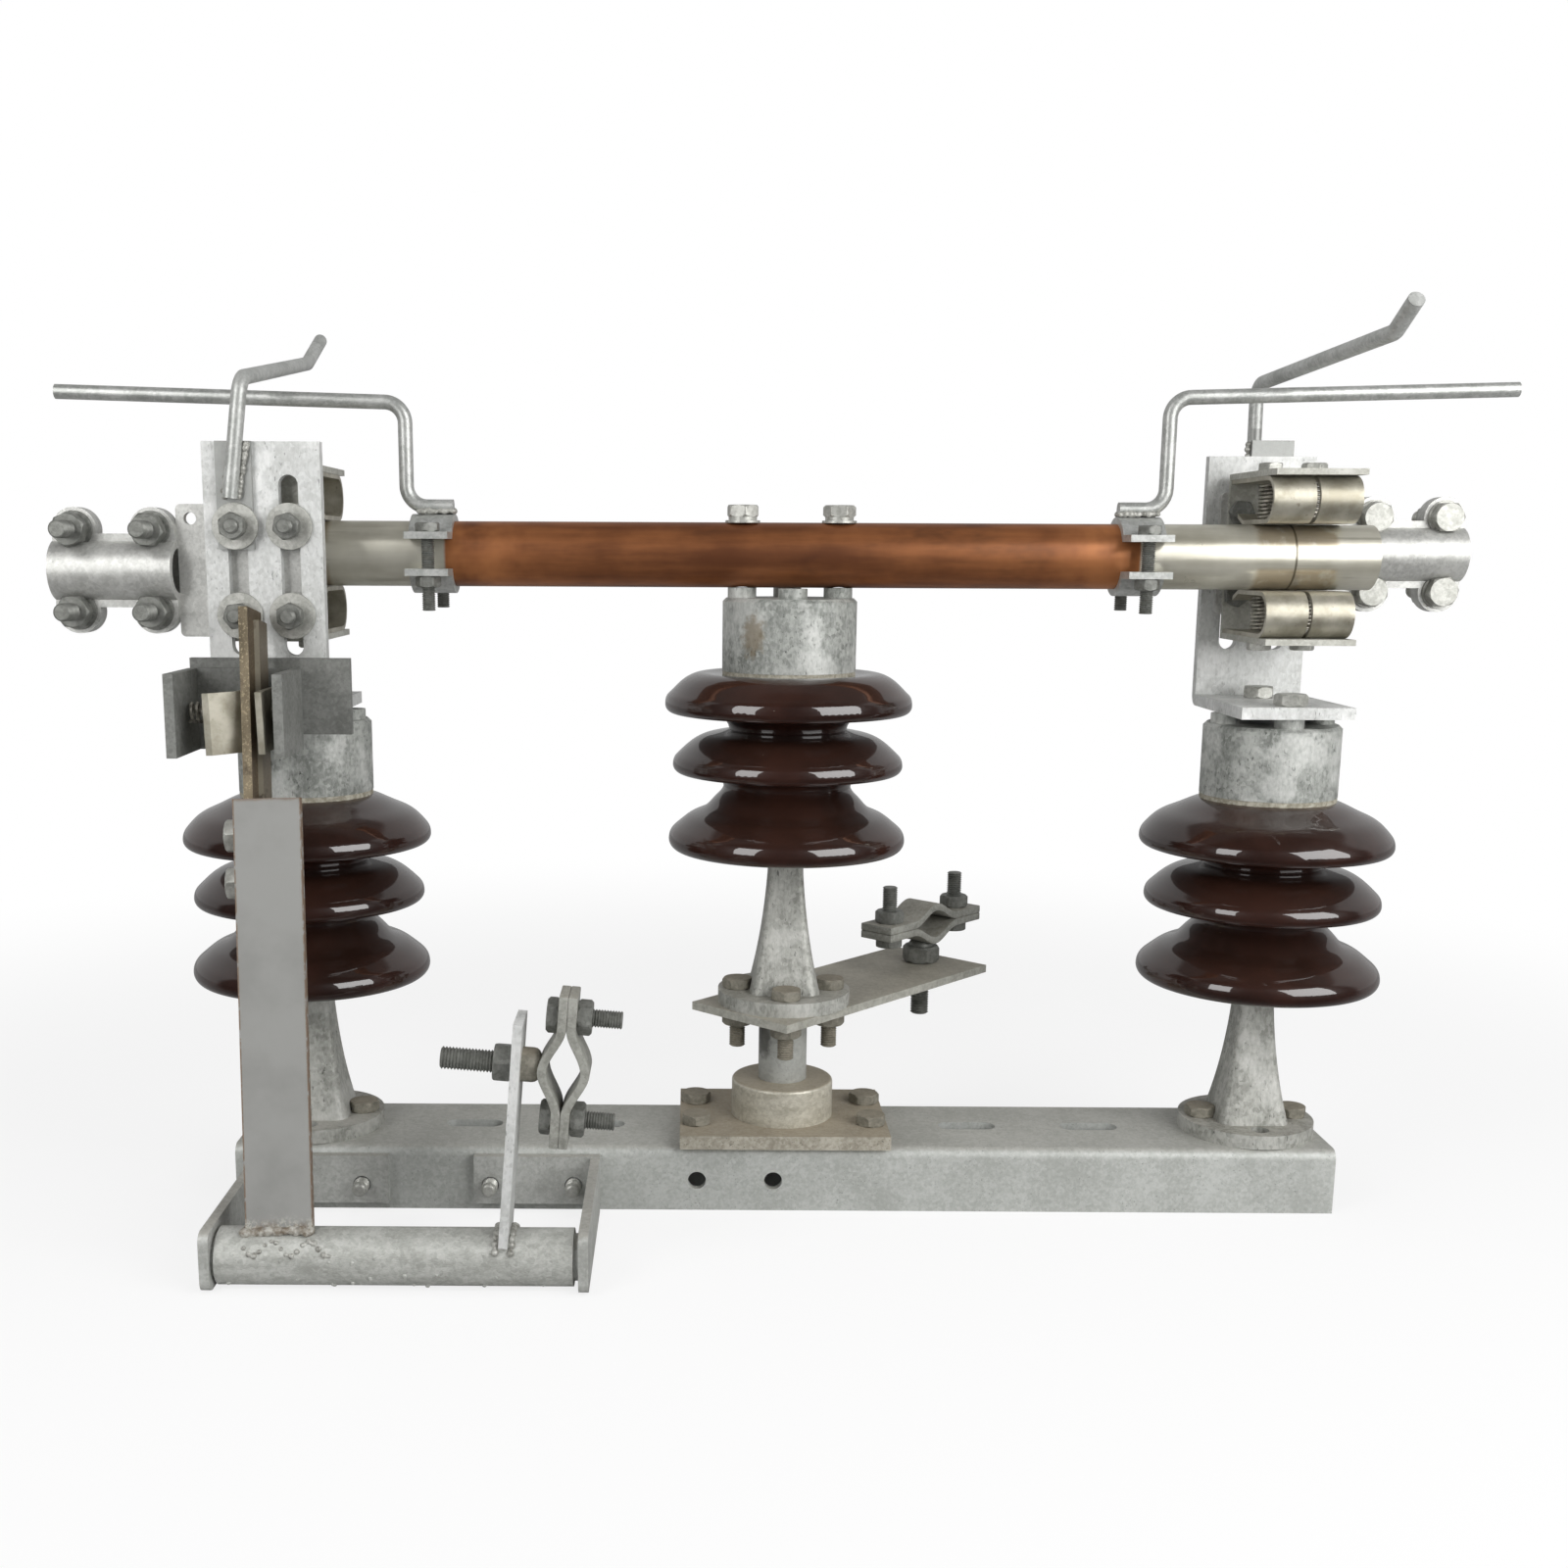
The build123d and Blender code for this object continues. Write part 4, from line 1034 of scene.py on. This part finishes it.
earthCoils = {"wire": (6.0, 0.9), "left": (30.1, 9), "right": (6.3, 2)}
low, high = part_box("earth_jaw_springs")
centre = (low + high) / 2
coils = []
for name, start, way in (("left", low.x, 1), ("right", high.x, -1)):
    length, turns = earthCoils[name]
    shape = coilShape(*inMm(earthCoils["wire"]), length * mm, turns)
    shape.data.transform(Matrix.Translation((start, centre.y, centre.z)) @ Matrix.Rotation(way * pi / 2, 4, "Y"))
    coils.append(give(smooth(shape, 60), finishes["spring"]))
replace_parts(gathered(coils, "earth_jaw_coils", "base"), "earth_jaw_springs")
print("earth switch dressed")

for shape in templates:
    bpy.data.objects.remove(shape)

# floor: white to the eye, with a soft shadow near the object
floorLook = {"size": 14.0, "albedo": 0.8, "near": 0.8, "fade": (0.5, 1.2), "front": 0.04, "rear": 0.3,
             "turn": (-0.25, 0.15), "rim": -0.004}
clearPick()
bpy.ops.mesh.primitive_plane_add(size=1)
floor = named(bpy.context.object, "studio_floor")
floor.data.transform(Matrix.Scale(floorLook["size"], 4))
kit = Finish("floorWhite", Base_Color=grey(floorLook["albedo"]), Roughness=0.9, Specular_IOR_Level=0.1)
ray = kit.node("ShaderNodeLightPath")
x, y = kit.axes()[:2]
away = kit.field("ShaderNodeVectorMath", "Value", {"operation": "LENGTH"}, {0: kit.place})
share = away.step(*floorLook["fade"]) * (1 - floorLook["near"]) + floorLook["near"]
# painted shade: the floor's glow is left out under the base channel, so the floor there is darker
low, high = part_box("base_channel")
under = ((x - (low.x + high.x) / 2).size() - (high.x - low.x) / 2).step(0.0, floorLook["rim"])
under = under * ((y - (low.y + high.y) / 2).size() - (high.y - low.y) / 2).step(0.0, floorLook["rim"])
direct = Field(kit, ray.outputs["Is Camera Ray"])
mirrored = kit.maths("MAXIMUM", ray.outputs["Is Glossy Ray"], ray.outputs["Is Transmission Ray"])
seen = direct * share * (1 - under) + mirrored
backdrop = kit.blend(grey(floorLook["front"]), grey(floorLook["rear"]), y.step(*floorLook["turn"]))
glow = kit.node("ShaderNodeEmission", None, {"Color": kit.blend(backdrop, grey(1), direct), "Strength": 1.0})
mix = kit.node("ShaderNodeMixShader", None, {0: seen, 1: kit.shader.outputs[0], 2: glow.outputs[0]})
output = next(n for n in kit.tree.nodes if n.type == "OUTPUT_MATERIAL")
kit.tree.links.new(mix.outputs[0], output.inputs["Surface"])
give(floor, kit.material)

# surroundings: white behind and beside the object, dark toward the front of the room
room = {"ambient": 0.29, "front": 0.05, "back": 0.45, "turn": (-0.12, 0.06), "ceiling": (0.7, 0.77),
        "above": 0.25}
world = bpy.data.worlds.new("studio")
bpy.context.scene.world = world
world.use_nodes = True
sky = Graph(world.node_tree)
ray = sky.node("ShaderNodeLightPath")
way = sky.apart(sky.node("ShaderNodeTexCoord").outputs["Generated"])
behind = way[1].step(*room["turn"], room["front"], room["back"])
mirrored = behind * way[2].step(*room["ceiling"], 1.0, room["above"])
glossy = sky.maths("MAXIMUM", ray.outputs["Is Glossy Ray"], ray.outputs["Is Transmission Ray"])
soft = sky.field("ShaderNodeMix", 0, None, {0: glossy, 2: room["ambient"], 3: mirrored})
strength = sky.field("ShaderNodeMix", 0, None, {0: ray.outputs["Is Camera Ray"], 2: soft, 3: 1.0})
back = sky.tree.nodes["Background"].inputs
sky.feed(back["Color"], grey(1))
sky.feed(back["Strength"], strength)

lampAim = Vector((0, 0, 0.28))
lamps = {
    "frontLeft": {"at": (-0.84, -0.9, 0.76), "size": (0.53, 1.0), "watts": 7.6, "mirrored": True},
    "frontRight": {"at": (0.9, -0.89, 0.76), "size": (1.0, 1.05), "watts": 16.5, "mirrored": True},
    "top": {"at": (0.0, -0.2, 1.9), "size": (1.4, 1.0), "watts": 6.6, "mirrored": False},
}
for name, lamp in lamps.items():
    data = bpy.data.lights.new(name, "AREA")
    data.shape, data.energy = "RECTANGLE", lamp["watts"]
    data.size, data.size_y = lamp["size"]
    obj = bpy.data.objects.new(name, data)
    bpy.context.scene.collection.objects.link(obj)
    obj.location = lamp["at"]
    obj.visible_glossy = lamp["mirrored"]
    obj.rotation_euler = (lampAim - Vector(lamp["at"])).to_track_quat("-Z", "Y").to_euler()

# camera fitted to the photo
view = {"place": (-0.05979, -1.01433, 0.39675), "yaw": -0.0038, "pitch": 0.1874, "roll": 0.0045, "lens": 38.55,
        "sensor": 36, "shift": (0.0651, 0.0542), "clip": (0.05, 30)}
level = cos(view["pitch"])
forward = Vector((sin(view["yaw"]) * level, cos(view["yaw"]) * level, -sin(view["pitch"])))
right = forward.cross(Vector((0, 0, 1))).normalized()
up = right.cross(forward)
across = right * cos(view["roll"]) + up * sin(view["roll"])
upright = up * cos(view["roll"]) - right * sin(view["roll"])
lens = bpy.data.cameras.new("photoLens")
lens.sensor_fit, lens.sensor_width, lens.lens = "HORIZONTAL", view["sensor"], view["lens"]
lens.shift_x, lens.shift_y = view["shift"]
lens.clip_start, lens.clip_end = view["clip"]
camera = bpy.data.objects.new("photoView", lens)
bpy.context.scene.collection.objects.link(camera)
camera.matrix_world = Matrix.Translation(view["place"]) @ Matrix((across, upright, -forward)).transposed().to_4x4()
bpy.context.scene.camera = camera
bpy.context.scene.view_settings.view_transform = "Standard"
print("studio ready")
